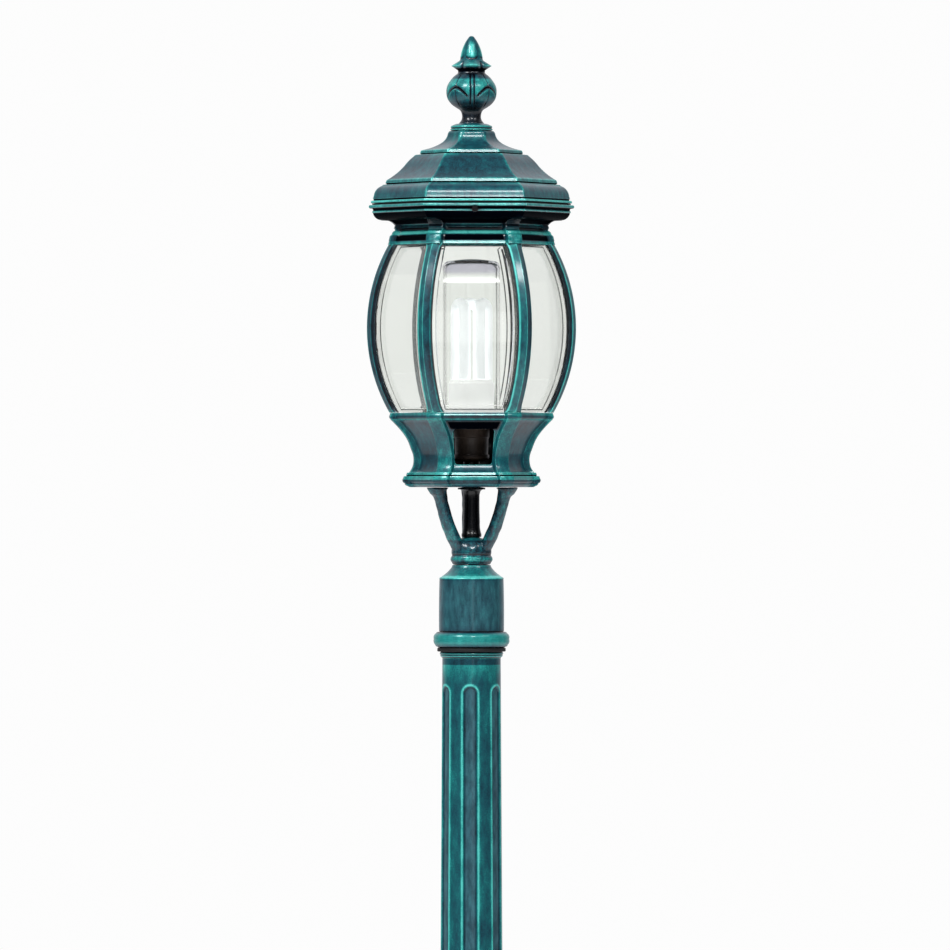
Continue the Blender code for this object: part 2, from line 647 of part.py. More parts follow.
def make_finial():
    """Bud finial: a flared neck, a round bulb, a crown of leaf tips and an ogive bud, screwed on a stud."""
    tip = LANTERN_RISE
    outer = [(0.0, tip)]
    outer += arc(outer[-1], (11.8, 616.6), 3.4, 6)
    outer += [(13.2, 613.6), (14.6, 603.6)]
    outer += arc(outer[-1], (25.6, 583.0), 3.4, 5)
    outer += arc(outer[-1], (13.8, 563.6), 4.0, 5)
    outer += arc(outer[-1], (12.6, 551.4), -3.6, 5)
    outer += [(12.6, FINIAL_FOOT_UP), (STUD_R + 0.4, FINIAL_FOOT_UP), (STUD_R + 0.4, 572.0), (0.0, 572.0)]
    finial = turned("finial", raised(outer), 24, PATINA, closed=False)
    for i in range(LEAVES):
        angle = -math.pi / 2 + i * 2 * math.pi / LEAVES

        def build(bm):
            place = Matrix.Translation((14.1 * MM, 0, up(609.6) * MM))
            bmesh.ops.create_cone(
                bm, cap_ends=True, segments=6, radius1=6.5 * MM, radius2=0.6 * MM,
                depth=11.0 * MM, matrix=place @ Matrix.Rotation(math.pi / 2, 4, "Y"),
            )

        leaf = turn_about_z(shaped(f"leaf_tip_{i + 1}", build, None, CUTTERS), angle)
        combine(finial, leaf, "UNION")
    cylinder("finial_stud", STUD_R, up(529.0), up(571.0), SMALL_STEPS, STEEL)
    low, high = up(532.4), up(539.4 - GAP)
    nut = cylinder("stud_nut", 8.0, low, high, 6, STEEL)
    bore = cylinder("stud_nut_bore", STUD_R + 0.4, low - 5.0, high + 5.0, SMALL_STEPS, None, CUTTERS)
    combine(nut, bore, "DIFFERENCE")


# Lamp and its holder


def make_holder():
    """Screw-thread lamp holder on the conduit's end, with its centre contact, and the earth terminal."""
    holder = [(18.4, HOLDER_TOP_UP), (19.6, 234.8), (19.6, 225.0)]
    holder += [(17.6, 223.0), (17.6, 206.0), (15.0, HOLDER_FOOT_UP)]
    holder += [(CABLE_R + 0.6, HOLDER_FOOT_UP), (CABLE_R + 0.6, 207.0), (14.2, 207.0), (14.2, HOLDER_TOP_UP)]
    turned("lamp_holder", raised(holder), 24, BAKELITE)
    contact = raised([(0.0, 210.6), (3.0, 210.6), (4.5, 209.4), (4.5, 207.3), (0.0, 207.3)])
    turned("centre_contact", contact, SMALL_STEPS, BRASS, closed=False)
    low = up(BELL_FLOOR_UP + GAP)
    earth = cylinder("earth_terminal", 4.0, low, low + 9.0, 12, BRASS)
    earth.location = (-22.0 * MM, 18.0 * MM, 0.0)


def make_tray():
    """Hexagonal tray that closes the bell under the glass, with a hole for the lamp's neck."""
    low, high = up(TRAY_UP), up(TRAY_UP + 2.0)
    turned("lamp_tray", [(78.6, high), (78.6, low), (26.0, low), (26.0, high)], SIDES, PATINA)


def make_jar():
    """Clear protective jar, upside down over the lamp, standing in a ring on the tray."""
    foot = TRAY_UP + 2.0 + GAP
    ring = [(33.0, foot + 11.0), (33.6, foot + 10.4), (33.6, foot), (28.0, foot), (28.0, foot + 1.6)]
    ring += [(JAR_R + 0.5, foot + 1.6), (JAR_R + 0.5, foot + 11.0)]
    turned("jar_ring", raised(ring), ROUND_STEPS, PATINA)
    inside = JAR_R - JAR_WALL
    low = foot + 1.9
    jar = [(0.0, JAR_TOP_UP)]
    jar += arc(jar[-1], (22.0, JAR_TOP_UP - 4.0), 1.2, 3)
    jar += arc(jar[-1], (JAR_R, JAR_TOP_UP - 14.0), 2.6, 3)
    jar += [(JAR_R, low), (inside, low), (inside, JAR_TOP_UP - 14.0)]
    jar += [(inside - 2.2, JAR_TOP_UP - 8.0), (20.0, JAR_TOP_UP - 6.2), (0.0, JAR_TOP_UP - 2.3)]
    turned("glass_jar", raised(jar), 24, CLEAR, closed=False)


def lamp_tube(name, angle):
    """One bent lamp tube: two legs joined by a half turn, standing on the ballast."""
    spread = 8.0
    reach = 13.5
    low, high = BALLAST_TOP_UP + GAP, LAMP_TUBE_TOP_UP - LAMP_TUBE_R - spread
    turns = [math.pi * i / 6 for i in range(7)]
    path = [(-spread, low)]
    path += [(-spread * math.cos(t), high + spread * math.sin(t)) for t in turns]
    path += [(spread, low)]
    curve = bpy.data.curves.new(name, "CURVE")
    curve.dimensions = "3D"
    curve.bevel_depth = LAMP_TUBE_R * MM
    curve.bevel_resolution = 2
    curve.use_fill_caps = True
    spline = curve.splines.new("POLY")
    spline.points.add(len(path) - 1)
    for point, (y, z) in zip(spline.points, path):
        point.co = (reach * MM, y * MM, up(z) * MM, 1.0)
    obj = add_object(name, curve)
    turn_about_z(obj, angle)
    to_mesh(obj, name, LAMP_GLASS)


def make_lamp():
    """Compact fluorescent lamp: screw cap, ballast housing and three bent tubes."""
    cap = [(0.0, 243.6), (12.6, 243.6), (13.2, 242.4), (13.2, 219.0)]
    cap += [(9.0, 214.0), (4.8, 211.6), (0.0, 211.6)]
    turned("lamp_cap", raised(cap), 20, BRASS, closed=False)
    ballast = [(0.0, BALLAST_TOP_UP), (21.5, BALLAST_TOP_UP), (23.6, BALLAST_TOP_UP - 2.0), (23.6, 264.0)]
    ballast += arc(ballast[-1], (15.0, 246.0), 1.5, 3)
    ballast += [(15.0, 243.9), (0.0, 243.9)]
    turned("lamp_ballast", raised(ballast), 24, LAMP_WHITE, closed=False)
    for i in range(3):
        lamp_tube(f"lamp_tube_{i + 1}", math.radians(-30.0 + 120.0 * i))


make_base()
make_shaft()
make_column_head()
make_cable()
make_sleeve()
make_bracket()
make_conduit()
make_bell()
make_ribs()
make_panels()
make_crown()
make_roof()
make_roof_cap()
make_finial()
make_holder()
make_tray()
make_jar()
make_lamp()
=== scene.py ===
"""Looks of the street lamp post: detailed cast pieces, verdigris paint, clear panels and the lit lamp."""

import json
from math import atan2, copysign, cos, exp, hypot, pi, radians, remainder, sin, sqrt, tan

import bmesh
import bpy
from mathutils import Matrix, Vector, noise

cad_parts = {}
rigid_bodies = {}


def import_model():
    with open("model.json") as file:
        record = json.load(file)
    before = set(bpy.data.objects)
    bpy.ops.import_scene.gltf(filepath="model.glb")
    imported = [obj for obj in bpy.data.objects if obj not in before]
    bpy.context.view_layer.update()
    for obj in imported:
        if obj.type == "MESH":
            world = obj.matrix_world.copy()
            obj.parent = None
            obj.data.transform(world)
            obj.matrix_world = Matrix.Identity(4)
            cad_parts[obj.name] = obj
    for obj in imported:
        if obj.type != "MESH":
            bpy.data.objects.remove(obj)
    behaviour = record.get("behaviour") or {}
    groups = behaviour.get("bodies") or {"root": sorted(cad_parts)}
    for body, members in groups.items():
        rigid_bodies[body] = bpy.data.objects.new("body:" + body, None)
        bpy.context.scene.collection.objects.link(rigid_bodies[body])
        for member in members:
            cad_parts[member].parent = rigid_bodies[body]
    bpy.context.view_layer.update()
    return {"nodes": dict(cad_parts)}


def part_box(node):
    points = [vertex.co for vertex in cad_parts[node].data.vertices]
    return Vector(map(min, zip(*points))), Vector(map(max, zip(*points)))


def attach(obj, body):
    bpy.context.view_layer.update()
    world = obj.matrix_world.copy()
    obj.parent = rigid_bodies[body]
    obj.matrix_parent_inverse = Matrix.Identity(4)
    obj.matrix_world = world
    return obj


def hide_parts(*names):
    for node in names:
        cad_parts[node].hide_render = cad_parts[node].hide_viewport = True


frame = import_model()

MM = 0.001
SIDES = 6
TAN30 = tan(radians(30))
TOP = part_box("pole_capital")[0].z - 0.0003  # the top of the column's shaft
WINDOW_ANGLES = [radians(a) for a in (-90, 30, 150)]
ARM_ANGLES = [radians(a) for a in (-30, 90, 210)]
SQUARISH = 0.78  # power of the arms' section, 1 for an ellipse
SHAFT_RADIUS, SHAFT_TAPER = 0.0301, 0.00573  # at the shaft's top in metres, and for each metre down


# ---- mesh helpers


def up(height):
    """World height, in metres, of a level given in mm above the shaft's top."""
    return TOP + height * MM


def height_of(point):
    """A point's height in mm above the shaft's top."""
    return (point.z - TOP) / MM


def arc(start, end, bulge, steps=3):
    """Points of an arc after start, to end. A positive bulge swells out of a profile that runs down."""
    a, b = Vector(start), Vector(end)
    chord = b - a
    half = chord.length / 2
    radius = (half * half + bulge * bulge) / (2 * abs(bulge))
    out = Vector((-chord.y, chord.x)).normalized() * copysign(1, bulge)
    centre = (a + b) / 2 - out * (radius - abs(bulge))
    first = atan2(a.y - centre.y, a.x - centre.x)
    last = atan2(b.y - centre.y, b.x - centre.x)
    sweep = remainder(last - first, 2 * pi)
    angles = [first + sweep * i / steps for i in range(1, steps + 1)]
    return [(centre.x + radius * cos(t), centre.y + radius * sin(t)) for t in angles]


def ease(low, high, x):
    """0 before low and 1 past high, with a smooth rise between them. low may be the larger."""
    t = max(0, min(1, (x - low) / (high - low)))
    return t * t * (3 - 2 * t)


def groove(distance, width):
    """1 in the middle of a groove, fading to nought."""
    return exp(-((distance / width) ** 2))


def path(*stretches):
    """A profile from points and (end, bulge, steps) arcs. An arc without steps has three."""
    points = []
    for item in stretches:
        if isinstance(item[0], tuple):
            points += arc(points[-1], *item)
        else:
            points.append(item)
    return points


def outline_radius(profile, height):
    """The largest radius that a closed profile reaches at a height, both in mm."""
    low, high = min(p[1] for p in profile), max(p[1] for p in profile)
    height = max(low, min(high, height))
    best = 0
    for start, end in zip(profile, profile[1:] + profile[:1]):
        below, above = (start, end) if start[1] <= end[1] else (end, start)
        if below[1] <= height <= above[1]:
            rise = above[1] - below[1]
            share = (height - below[1]) / rise if rise > 1e-9 else 1
            best = max(best, below[0] + (above[0] - below[0]) * share, below[0] if rise < 1e-9 else 0)
    return best


def proudness(profile, reach=5, scale=2.4):
    """A function of height, from -1 in a hollow to 1 on a bead of the profile."""
    known = {}

    def value(height):
        key = round(height, 1)
        if key not in known:
            around = [outline_radius(profile, key + d) for d in range(-reach, reach + 1)]
            known[key] = (outline_radius(profile, key) - sum(around) / len(around)) / scale
        return max(-1, min(1, known[key]))

    return value


def level(stops, height):
    """The tone at a height, in a straight line between (height, tone) stops that run downwards."""
    for (high, above), (low, below) in zip(stops, stops[1:]):
        if height >= low:
            share = min(1, (height - low) / (high - low))
            return below + (above - below) * share
    return stops[-1][1]


def store(mesh, values, name="proud"):
    """Keeps one number for each vertex. In "proud", 1 is rubbed bright and painted highlight, and -1 is left
    dark and painted shade.
    """
    mesh.attributes.new(name, "FLOAT", "POINT").data.foreach_set("value", values)


def mark(mesh, tone, name="proud"):
    """Stores a tone for each vertex, from a function of height or from (height, tone) stops."""
    tone_at = tone if callable(tone) else lambda height: level(tone, height)
    store(mesh, [tone_at(height_of(v.co)) for v in mesh.vertices], name)


def spline(points, steps):
    """A smooth curve through all the points but the first and the last, which only give it a direction."""
    curve = [points[1]]
    for a, b, c, d in zip(points, points[1:], points[2:], points[3:]):
        for i in range(1, steps + 1):
            t = i / steps
            curve.append(tuple(
                0.5 * (
                    2 * q + (r - p) * t + (2 * p - 5 * q + 4 * r - s) * t * t + (3 * q - p - 3 * r + s) * t**3
                )
                for p, q, r, s in zip(a, b, c, d)
            ))
    return curve


def loose(name, data):
    """A new object in the scene."""
    obj = bpy.data.objects.new(name, data)
    bpy.context.scene.collection.objects.link(obj)
    return obj


def link(name, mesh, mat, body, nodes, crease=38):
    """A finished piece, on its body and in place of its CAD nodes."""
    obj = loose(name, mesh)
    mesh.shade_smooth()
    mesh.set_sharp_from_angle(angle=radians(crease))
    mesh.materials.append(mat)
    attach(obj, body)
    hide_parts(*nodes)
    return obj


def to_mesh(name, bm):
    mesh = bpy.data.meshes.new(name)
    bm.to_mesh(mesh)
    bm.free()
    return mesh


def mesh_from_rings(name, rings, wrap=False):
    """A surface through closed rings. A ring of one point closes it to a tip."""
    bm = bmesh.new()
    rows = [[bm.verts.new(p) for p in ring] for ring in rings]
    pairs = list(zip(rows, rows[1:]))
    if wrap:
        pairs.append((rows[-1], rows[0]))
    for lower, upper in pairs:
        a, b = len(lower), len(upper)
        n = max(a, b)
        for i in range(n):
            j = (i + 1) % n
            corners = (lower[i % a], lower[j % a], upper[j % b], upper[i % b])
            bm.faces.new(tuple(dict.fromkeys(corners)))  # at a tip two corners are one
    if not wrap:
        for row in (rows[0], rows[-1]):
            if len(row) > 2:
                bm.faces.new(row)
    bmesh.ops.recalc_face_normals(bm, faces=bm.faces)
    return to_mesh(name, bm)


def circle(radius, z, steps):
    """A ring round the column's axis, in metres."""
    turns = [2 * pi * i / steps for i in range(steps)]
    return [(radius * cos(t), radius * sin(t), z) for t in turns]


def turned(name, profile, steps):
    """A turned mesh. Its profile, in mm, closes on itself unless it ends on the axis."""
    wrap = profile[0][0] > 1e-6 and profile[-1][0] > 1e-6
    rings = [[(0, 0, up(z))] if r < 1e-6 else circle(r * MM, up(z), steps) for r, z in profile]
    return mesh_from_rings(name, rings, wrap)


def lathe(name, profile, mat, body, nodes, steps=96, tones=None):
    """A turned piece, painted by its tones or else by how proud its profile stands."""
    mesh = turned(name, profile, steps)
    mark(mesh, tones or proudness(profile))
    return link(name, mesh, mat, body, nodes)


def corner_points(corner, rounding, pilaster):
    """Half of one corner of a hexagonal section, as (along, across) points in mm."""
    if pilaster:
        half, proud = pilaster
        core = corner - proud
        foot = core - half * TAN30
        return [
            (core - (half + 3) * TAN30, half + 3), (core - (half + 0.5) * TAN30, half + 0.5),
            (foot + 0.35 * (corner - 0.9 - foot), half + 0.1), (corner - 1.3, half),
            (corner - 0.75, half - 0.5), (corner - 0.45, half - 1.4), (corner - 0.1, half * 0.35),
            (corner, 0),
        ]
    # A fillet of that radius between two faces that meet at 120 degrees.
    tangent = rounding * TAN30
    points = [(corner - (tangent * 0.866 + 1.6) * TAN30, tangent * 0.866 + 1.6)]
    centre = corner - rounding / cos(pi / SIDES)
    for i in range(3):
        t = radians(30 * (1 - i / 2))
        points.append((centre + rounding * cos(t), rounding * sin(t)))
    return points


def hexagon(half, height):
    """A ring with the same corner six times. half is (along, across) points of one half of it, in mm."""
    both = [(a, -b) for a, b in half] + [(a, b) for a, b in reversed(half) if b > 1e-9]
    ring = []
    for k in range(SIDES):
        c, s = cos(pi / 3 * k), sin(pi / 3 * k)
        ring += [((a * c - b * s) * MM, (a * s + b * c) * MM, up(height)) for a, b in both]
    return ring


def hex_ring(corner, height, rounding, pilaster=None):
    """One hexagonal ring. corner is the radius at the corners, in mm."""
    return hexagon(corner_points(corner, rounding, pilaster), height)


def hex_ring_plain(corner, height):
    """A ring with as many points as a pilaster's, but with plain corners."""
    count = len(corner_points(50, 1.2, (8, 2)))
    widths = [11.2 * (1 - i / (count - 1)) for i in range(count)]
    return hexagon([(corner - w * TAN30, w) for w in widths], height)


def off_corner(point):
    """A point's distance in mm from the nearest corner's direction, along the turn."""
    return abs(remainder(atan2(point.y, point.x), pi / 3)) * hypot(point.x, point.y) / MM


def apply_all(obj):
    """Turns the object's modifiers into its mesh."""
    bpy.context.view_layer.update()
    graph = bpy.context.evaluated_depsgraph_get()
    mesh = bpy.data.meshes.new_from_object(obj.evaluated_get(graph))
    obj.modifiers.clear()
    obj.data = mesh


def boolean(obj, cutter, operation="DIFFERENCE"):
    mod = obj.modifiers.new("boolean", "BOOLEAN")
    mod.object = cutter
    mod.operation = operation
    mod.solver = "EXACT"
    apply_all(obj)
    bpy.data.objects.remove(cutter)


def bare_mesh(obj):
    """The object's mesh, without the object."""
    mesh = obj.data
    bpy.data.objects.remove(obj)
    return mesh


def cylinder(name, radius, low, high, steps):
    bm = bmesh.new()
    bmesh.ops.create_cone(
        bm, cap_ends=True, segments=steps, radius1=radius * MM, radius2=radius * MM, depth=(high - low) * MM,
        matrix=Matrix.Translation((0, 0, up((low + high) / 2))),
    )
    return loose(name, to_mesh(name, bm))


def drill(obj, screw, radius, reach, out):
    """Side holes for two set screws, each 2 * reach mm long with its middle out metres from the axis."""
    for node in (f"{screw}_1", f"{screw}_2"):
        low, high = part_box(node)
        centre = (low + high) / 2
        angle = atan2(centre.y, centre.x)
        hole = cylinder("hole", radius, -reach, reach, 24)
        move = Matrix.Translation((out * cos(angle), out * sin(angle), centre.z))
        turn = Matrix.Rotation(angle, 4, "Z") @ Matrix.Rotation(pi / 2, 4, "Y")
        hole.data.transform(move @ turn @ Matrix.Translation((0, 0, -TOP)))
        boolean(obj, hole)


# ---- materials


class Nodes:
    """Short names for building a node tree."""

    def __init__(self, name, coords="Object", kind=None):
        self.owner = (bpy.data.materials if kind is None else kind).new(name)
        self.owner.use_nodes = True
        self.tree = self.owner.node_tree
        self.coords = self.add("ShaderNodeTexCoord").outputs[coords]

    def add(self, kind, **settings):
        node = self.tree.nodes.new(kind)
        for key, value in settings.items():
            setattr(node, key, value)
        return node

    def put(self, socket, value):
        """A number, a colour, a vector or another node's output into a socket."""
        if isinstance(value, (int, float)):
            socket.default_value = value
        elif isinstance(value, tuple):
            socket.default_value = (*value, 1)[: len(socket.default_value)]
        else:
            self.tree.links.new(value, socket)

    def make(self, kind, output, inputs, **settings):
        """Adds a node, fills its inputs and gives one of its outputs."""
        node = self.add(kind, **settings)
        for key, value in inputs.items():
            self.put(node.inputs[key], value)
        return node.outputs[output]

    def shade(self, inputs):
        """Fills the shader's own inputs and gives the material."""
        for key, value in inputs.items():
            self.put(self.tree.nodes["Principled BSDF"].inputs[key], value)
        return self.owner

    def attribute(self, name):
        return self.make("ShaderNodeAttribute", "Fac", {}, attribute_name=name)

    def stretched(self, scale):
        """Object coordinates stretched by a scale for each axis."""
        return self.make("ShaderNodeMapping", "Vector", {"Scale": scale, "Vector": self.coords})

    def noise(self, scale, detail=3, roughness=0.55, vector=None):
        inputs = {"Scale": scale, "Detail": detail, "Roughness": roughness, "Vector": vector or self.coords}
        return self.make("ShaderNodeTexNoise", "Fac", inputs)

    def range(self, value, low, high, to_low=0, to_high=1):
        inputs = {"Value": value, "From Min": low, "From Max": high, "To Min": to_low, "To Max": to_high}
        return self.make("ShaderNodeMapRange", "Result", inputs, interpolation_type="SMOOTHSTEP")

    def math(self, operation, a, b, clamp=False):
        return self.make("ShaderNodeMath", "Value", {0: a, 1: b}, operation=operation, use_clamp=clamp)

    def times(self, a, b):
        return self.math("MULTIPLY", a, b)

    def total(self, first, *others):
        for other in others:
            first = self.math("ADD", first, other)
        return first

    def mix(self, factor, a, b):
        return self.make("ShaderNodeMix", 2, {0: factor, 6: a, 7: b}, data_type="RGBA")

    def edge(self, radius):
        """How far the surface turns within a radius: nought on a flat or gently curved face."""
        soft = self.make("ShaderNodeBevel", "Normal", {"Radius": radius}, samples=8)
        flat = self.make("ShaderNodeNewGeometry", "Normal", {})
        dot = self.make("ShaderNodeVectorMath", "Value", {0: soft, 1: flat}, operation="DOT_PRODUCT")
        return self.math("SUBTRACT", 1, dot, clamp=True)

    def ramp(self, value, stops):
        """Colours at places from 0 to 1."""
        node = self.add("ShaderNodeValToRGB")
        points = node.color_ramp.elements
        while len(points) < len(stops):
            points.new(0.5)
        for point, (place, colour) in zip(points, stops):
            point.position = place
            point.color = (*colour, 1)
        self.put(node.inputs["Fac"], value)
        return node.outputs["Color"]

    def bump(self, height, distance, strength):
        inputs = {"Strength": strength, "Distance": distance, "Height": height}
        return self.make("ShaderNodeBump", "Normal", inputs)


def srgb(*colour):
    """An 8-bit display colour as linear values."""
    shares = [v / 255 for v in colour]
    return tuple(v / 12.92 if v <= 0.04045 else ((v + 0.055) / 1.055) ** 2.4 for v in shares)


def dim(colour, share):
    return tuple(c * share for c in colour)


def verdigris(name, base=0.5, mottle=1, streaks=(1, 1, 0.5)):
    """Black base coat under a brushed turquoise one: bright on edges and beads, dark in the hollows, with
    painted highlights and shade.
    """
    n = Nodes(name)
    proud = n.attribute("proud")
    brushed = n.noise(170, 4, 0.62, n.stretched(streaks))
    cloud = n.noise(30, 2, 0.5)
    speck = n.noise(800, 2, 0.6)
    # Sharp edges are brightened: rubbed patina together with a painted highlight.
    line = n.range(n.edge(0.0012), 0.004, 0.07)
    amount = n.total(
        n.times(brushed, 0.75 * mottle), n.times(cloud, 0.5 * mottle), n.times(speck, 0.55 * mottle),
        base - 0.9 * mottle, n.times(proud, 0.42), n.times(line, n.range(proud, -1.3, -0.9, 0, 0.34)),
    )
    # Ambient occlusion darkens the patina in recesses and under overhangs: painted shade.
    hollow = n.make("ShaderNodeAmbientOcclusion", "AO", {"Distance": 0.014}, samples=8)
    shade = n.total(n.times(n.range(hollow, 0.25, 0.92), 0.85), 0.15)
    patina = n.ramp(n.math("MULTIPLY", amount, shade, clamp=True), PATINA)
    bloom = n.mix(n.range(brushed, 0.35, 0.65), dim(BLOOM, 0.55), dim(BLOOM, 1.25))
    return n.shade({
        "Base Color": n.mix(n.attribute("chalky"), patina, bloom),
        "Roughness": n.range(speck, 0.3, 0.7, 0.34, 0.5),
        "Metallic": 0.2,
        "Specular IOR Level": n.range(proud, -1.3, -1.05, 0, 0.4),
        "Coat Weight": n.range(proud, -1.3, -1.05, 0, 0.6),
        "Coat Roughness": 0.14,
        "Normal": n.bump(n.total(n.times(speck, 0.5), n.times(brushed, 0.8)), 0.0004, 0.3),
    })


def plated(name, colour):
    """Plated or machined metal with fine turning marks and dull patches."""
    n = Nodes(name)
    patch = n.noise(90, 3, 0.6)
    return n.shade({
        "Base Color": n.mix(n.range(patch, 0.35, 0.7), dim(colour, 0.72), colour),
        "Roughness": n.range(patch, 0.3, 0.7, 0.3, 0.48),
        "Metallic": 1,
        "Normal": n.bump(n.noise(1400, 2, 0.5, n.stretched((0.3, 0.3, 1))), 0.0002, 0.3),
    })


def moulded(name, colour, roughness, grain=700, painted_glow=0):
    """Moulded plastic or rubber with a fine grain and a little unevenness, and a glow that is painted light.
    """
    n = Nodes(name)
    fine = n.noise(grain, 3, 0.6)
    return n.shade({
        "Base Color": n.mix(n.range(n.noise(60, 3, 0.5), 0.3, 0.7), dim(colour, 0.82), colour),
        "Roughness": n.range(fine, 0.3, 0.7, roughness, roughness + 0.15),
        "Emission Strength": painted_glow,
        "Normal": n.bump(fine, 0.0002, 0.3),
    })


def clear(name, tint, ior, grooved):
    """Clear moulded plastic with a faint ripple. Grooved pieces get a painted dark line in their grooves; the
    others a painted glowing highlight on the shoulder and painted grey shade on the dome.
    """
    n = Nodes(name)
    ripple = n.bump(n.noise(26, 1, 0.4), 0.0004, 0.12)
    inputs = {"Roughness": 0, "IOR": ior, "Transmission Weight": 1, "Normal": ripple}
    if grooved:
        # A painted dark line along the groove, standing in for its refraction.
        inputs["Base Color"] = n.mix(n.attribute("groove"), tint, (0.3, 0.32, 0.33))
    else:
        # The jar's shoulder glows as a painted highlight, and its dome is painted grey as shade.
        lit = n.attribute("lit")
        inputs["Base Color"] = n.mix(n.range(lit, -1, 0, 1, 0), tint, (0.78, 0.77, 0.83))
        inputs["Emission Strength"] = n.math("MULTIPLY", lit, 0.55, clamp=True)
    return n.shade(inputs)


def glowing(name, colour, strength):
    """Lit opal glass, a little uneven."""
    n = Nodes(name)
    return n.shade({
        "Base Color": (0.9, 0.92, 0.95),
        "Roughness": 0.25,
        "Emission Color": n.mix(n.range(n.noise(120, 2), 0.3, 0.7), dim(colour, 0.86), colour),
        "Emission Strength": strength,
    })


PATINA = (
    (0, srgb(2, 4, 10)), (0.2, srgb(5, 26, 40)), (0.42, srgb(10, 72, 86)), (0.6, srgb(14, 104, 110)),
    (0.8, srgb(36, 158, 152)), (1, srgb(92, 214, 204)),
)
BLOOM = srgb(68, 104, 118)  # grey-blue bloom on the paint in recesses
PAINT = verdigris("verdigris_cast", mottle=0.8)
PAINT_ROUGH = verdigris("verdigris_rough", base=0.4, mottle=1.5)
PAINT_SMOOTH = verdigris("verdigris_smooth", mottle=0.35)
PAINT_COLUMN = verdigris("verdigris_column", base=0.52, mottle=0.7, streaks=(1, 1, 0.3))
PAINT_DARK = verdigris("verdigris_dark", base=0.12, mottle=0.4)
ZINC = plated("zinc_plated", (0.52, 0.53, 0.55))
BRASS = plated("brass_turned", (0.72, 0.53, 0.25))
RUBBER = moulded("gasket_rubber", (0.006, 0.006, 0.007), 0.55)
BLACK = moulded("black_painted", srgb(7, 7, 10), 0.16, 1600)
# A lighter brown than the real holder's: painted light on it, inside the bell's shade.
BAKELITE = moulded("bakelite_brown", srgb(104, 90, 80), 0.35, 500)
# The ballast's glow is painted light, standing in for the tubes' light on it.
WHITE = moulded("ballast_white", (0.86, 0.87, 0.87), 0.35, 500, 0.5)
PANEL = clear("panel_clear", (0.93, 0.945, 0.92), 1.46, grooved=True)
JAR = clear("jar_clear", (0.98, 0.985, 0.98), 1.12, grooved=False)
TUBE = glowing("tube_lit", (0.95, 0.98, 1), 0.55)


# ---- column and bracket


def flute_section(distance):
    """(depth in mm, paint, bloom) of a flute's surface by distance inwards from its rim line, in mm."""
    # The rim is painted bright, as rubbed patina and painted highlight. Just inside it runs a line of painted
    # shade.
    rim = groove(distance + 1, 1.4)
    inside = ease(0, 1.6, distance)
    rim_shade = groove(distance - 1.7, 0.9)
    return 1.7 * inside - 0.55 * rim, 1.15 * rim - 0.5 * rim_shade, 0.55 * ease(1.4, 3.2, distance)


def make_shaft():
    """Tapered shaft with six round-ended flutes, each inside a raised rim."""
    low, foot, top = 0.104, 0.215, TOP - 0.0285
    half = 7.6 * MM  # of a flute's width
    first_flute = radians(-4.6)  # from the front
    steps = 480
    end = 0.0125  # height of the round end's levels, which are closer together
    levels = [low, low + 0.05, foot - 0.003]
    levels += [foot - 0.003 + end * i / 16 for i in range(1, 17)]
    first, last, count = foot + 0.0095, top - 0.0095, 60
    levels += [first + (last - first) * i / count for i in range(1, count + 1)]
    levels += [last + end * i / 18 for i in range(1, 19)]
    levels += [TOP - 0.0076, TOP - 0.0070, TOP - 0.0064, TOP - 0.0012, TOP]
    turns = [2 * pi * i / steps for i in range(steps)]
    rings, paint, bloom = [], [], []
    for z in levels:
        radius = SHAFT_RADIUS + (TOP - z) * SHAFT_TAPER
        # Just under the capital: a band of painted shade, with a painted highlight line below it.
        capital_shade_and_highlight = -0.2 if TOP - 0.0066 < z < TOP - 0.001 else 0.55 if TOP - 0.0078 < z < TOP - 0.0068 else 0
        over = max(0, z - (top - half), (foot + half) - z)
        ring = []
        for angle in turns:
            across = remainder(angle + pi / 2 - first_flute, pi / 3) * radius
            depth, tone, chalky = flute_section(max(-6, (half - hypot(across, over)) / MM))
            r = radius - depth * MM
            ring.append((r * cos(angle), r * sin(angle), z))
            paint.append(tone + capital_shade_and_highlight)
            bloom.append(chalky)
        rings.append(ring)
    rest = [
        (0.0246, TOP), (0.0246, up(69)), (0.0236, up(70)), (0.0206, up(70)), (0.0206, up(-4)),
        (0.0262, up(-8)),
    ]
    for r, z in rest + [(0.0344, low)]:
        rings.append(circle(r, z, steps))
        paint += [-1] * steps
        bloom += [0] * steps
    mesh = mesh_from_rings("shaft_fluted", rings, wrap=True)
    store(mesh, paint)
    store(mesh, bloom, "chalky")
    link("shaft_fluted", mesh, PAINT_COLUMN, "column", ["pole_shaft"], crease=50)


def make_head():
    capital = path(
        (30.4, 6.5), (31.5, 6.5), ((32.5, 5.2), 0.35), ((32.5, 3.9), 0.25), (31.9, 3.4), (31.9, 2.9),
        ((32.2, 2), 0.2), (31.2, 1.2), (30.6, 0.7), (30.4, 0.3), (25.4, 0.3), (25.4, 6.5),
    )
    # Painted highlight lines on the capital's two beads, and painted shade in the groove between them and
    # under them.
    tones = [(6.5, -0.2), (5.8, 0.9), (4.2, 0.8), (3.6, -1), (3, -1), (2.6, 0.8), (1.8, 0.8), (1, -0.7)]
    lathe("capital_ring", capital, PAINT_SMOOTH, "column", ["pole_capital"], 128, tones)
    gasket = path((34.7, 10.5), ((35.2, 10), 0.1), (35.3, 7.4), ((34.7, 6.8), 0.1), (25.4, 6.8), (25.4, 10.5))
    lathe("seal_ring", gasket, RUBBER, "column", ["collar_gasket"], 96)


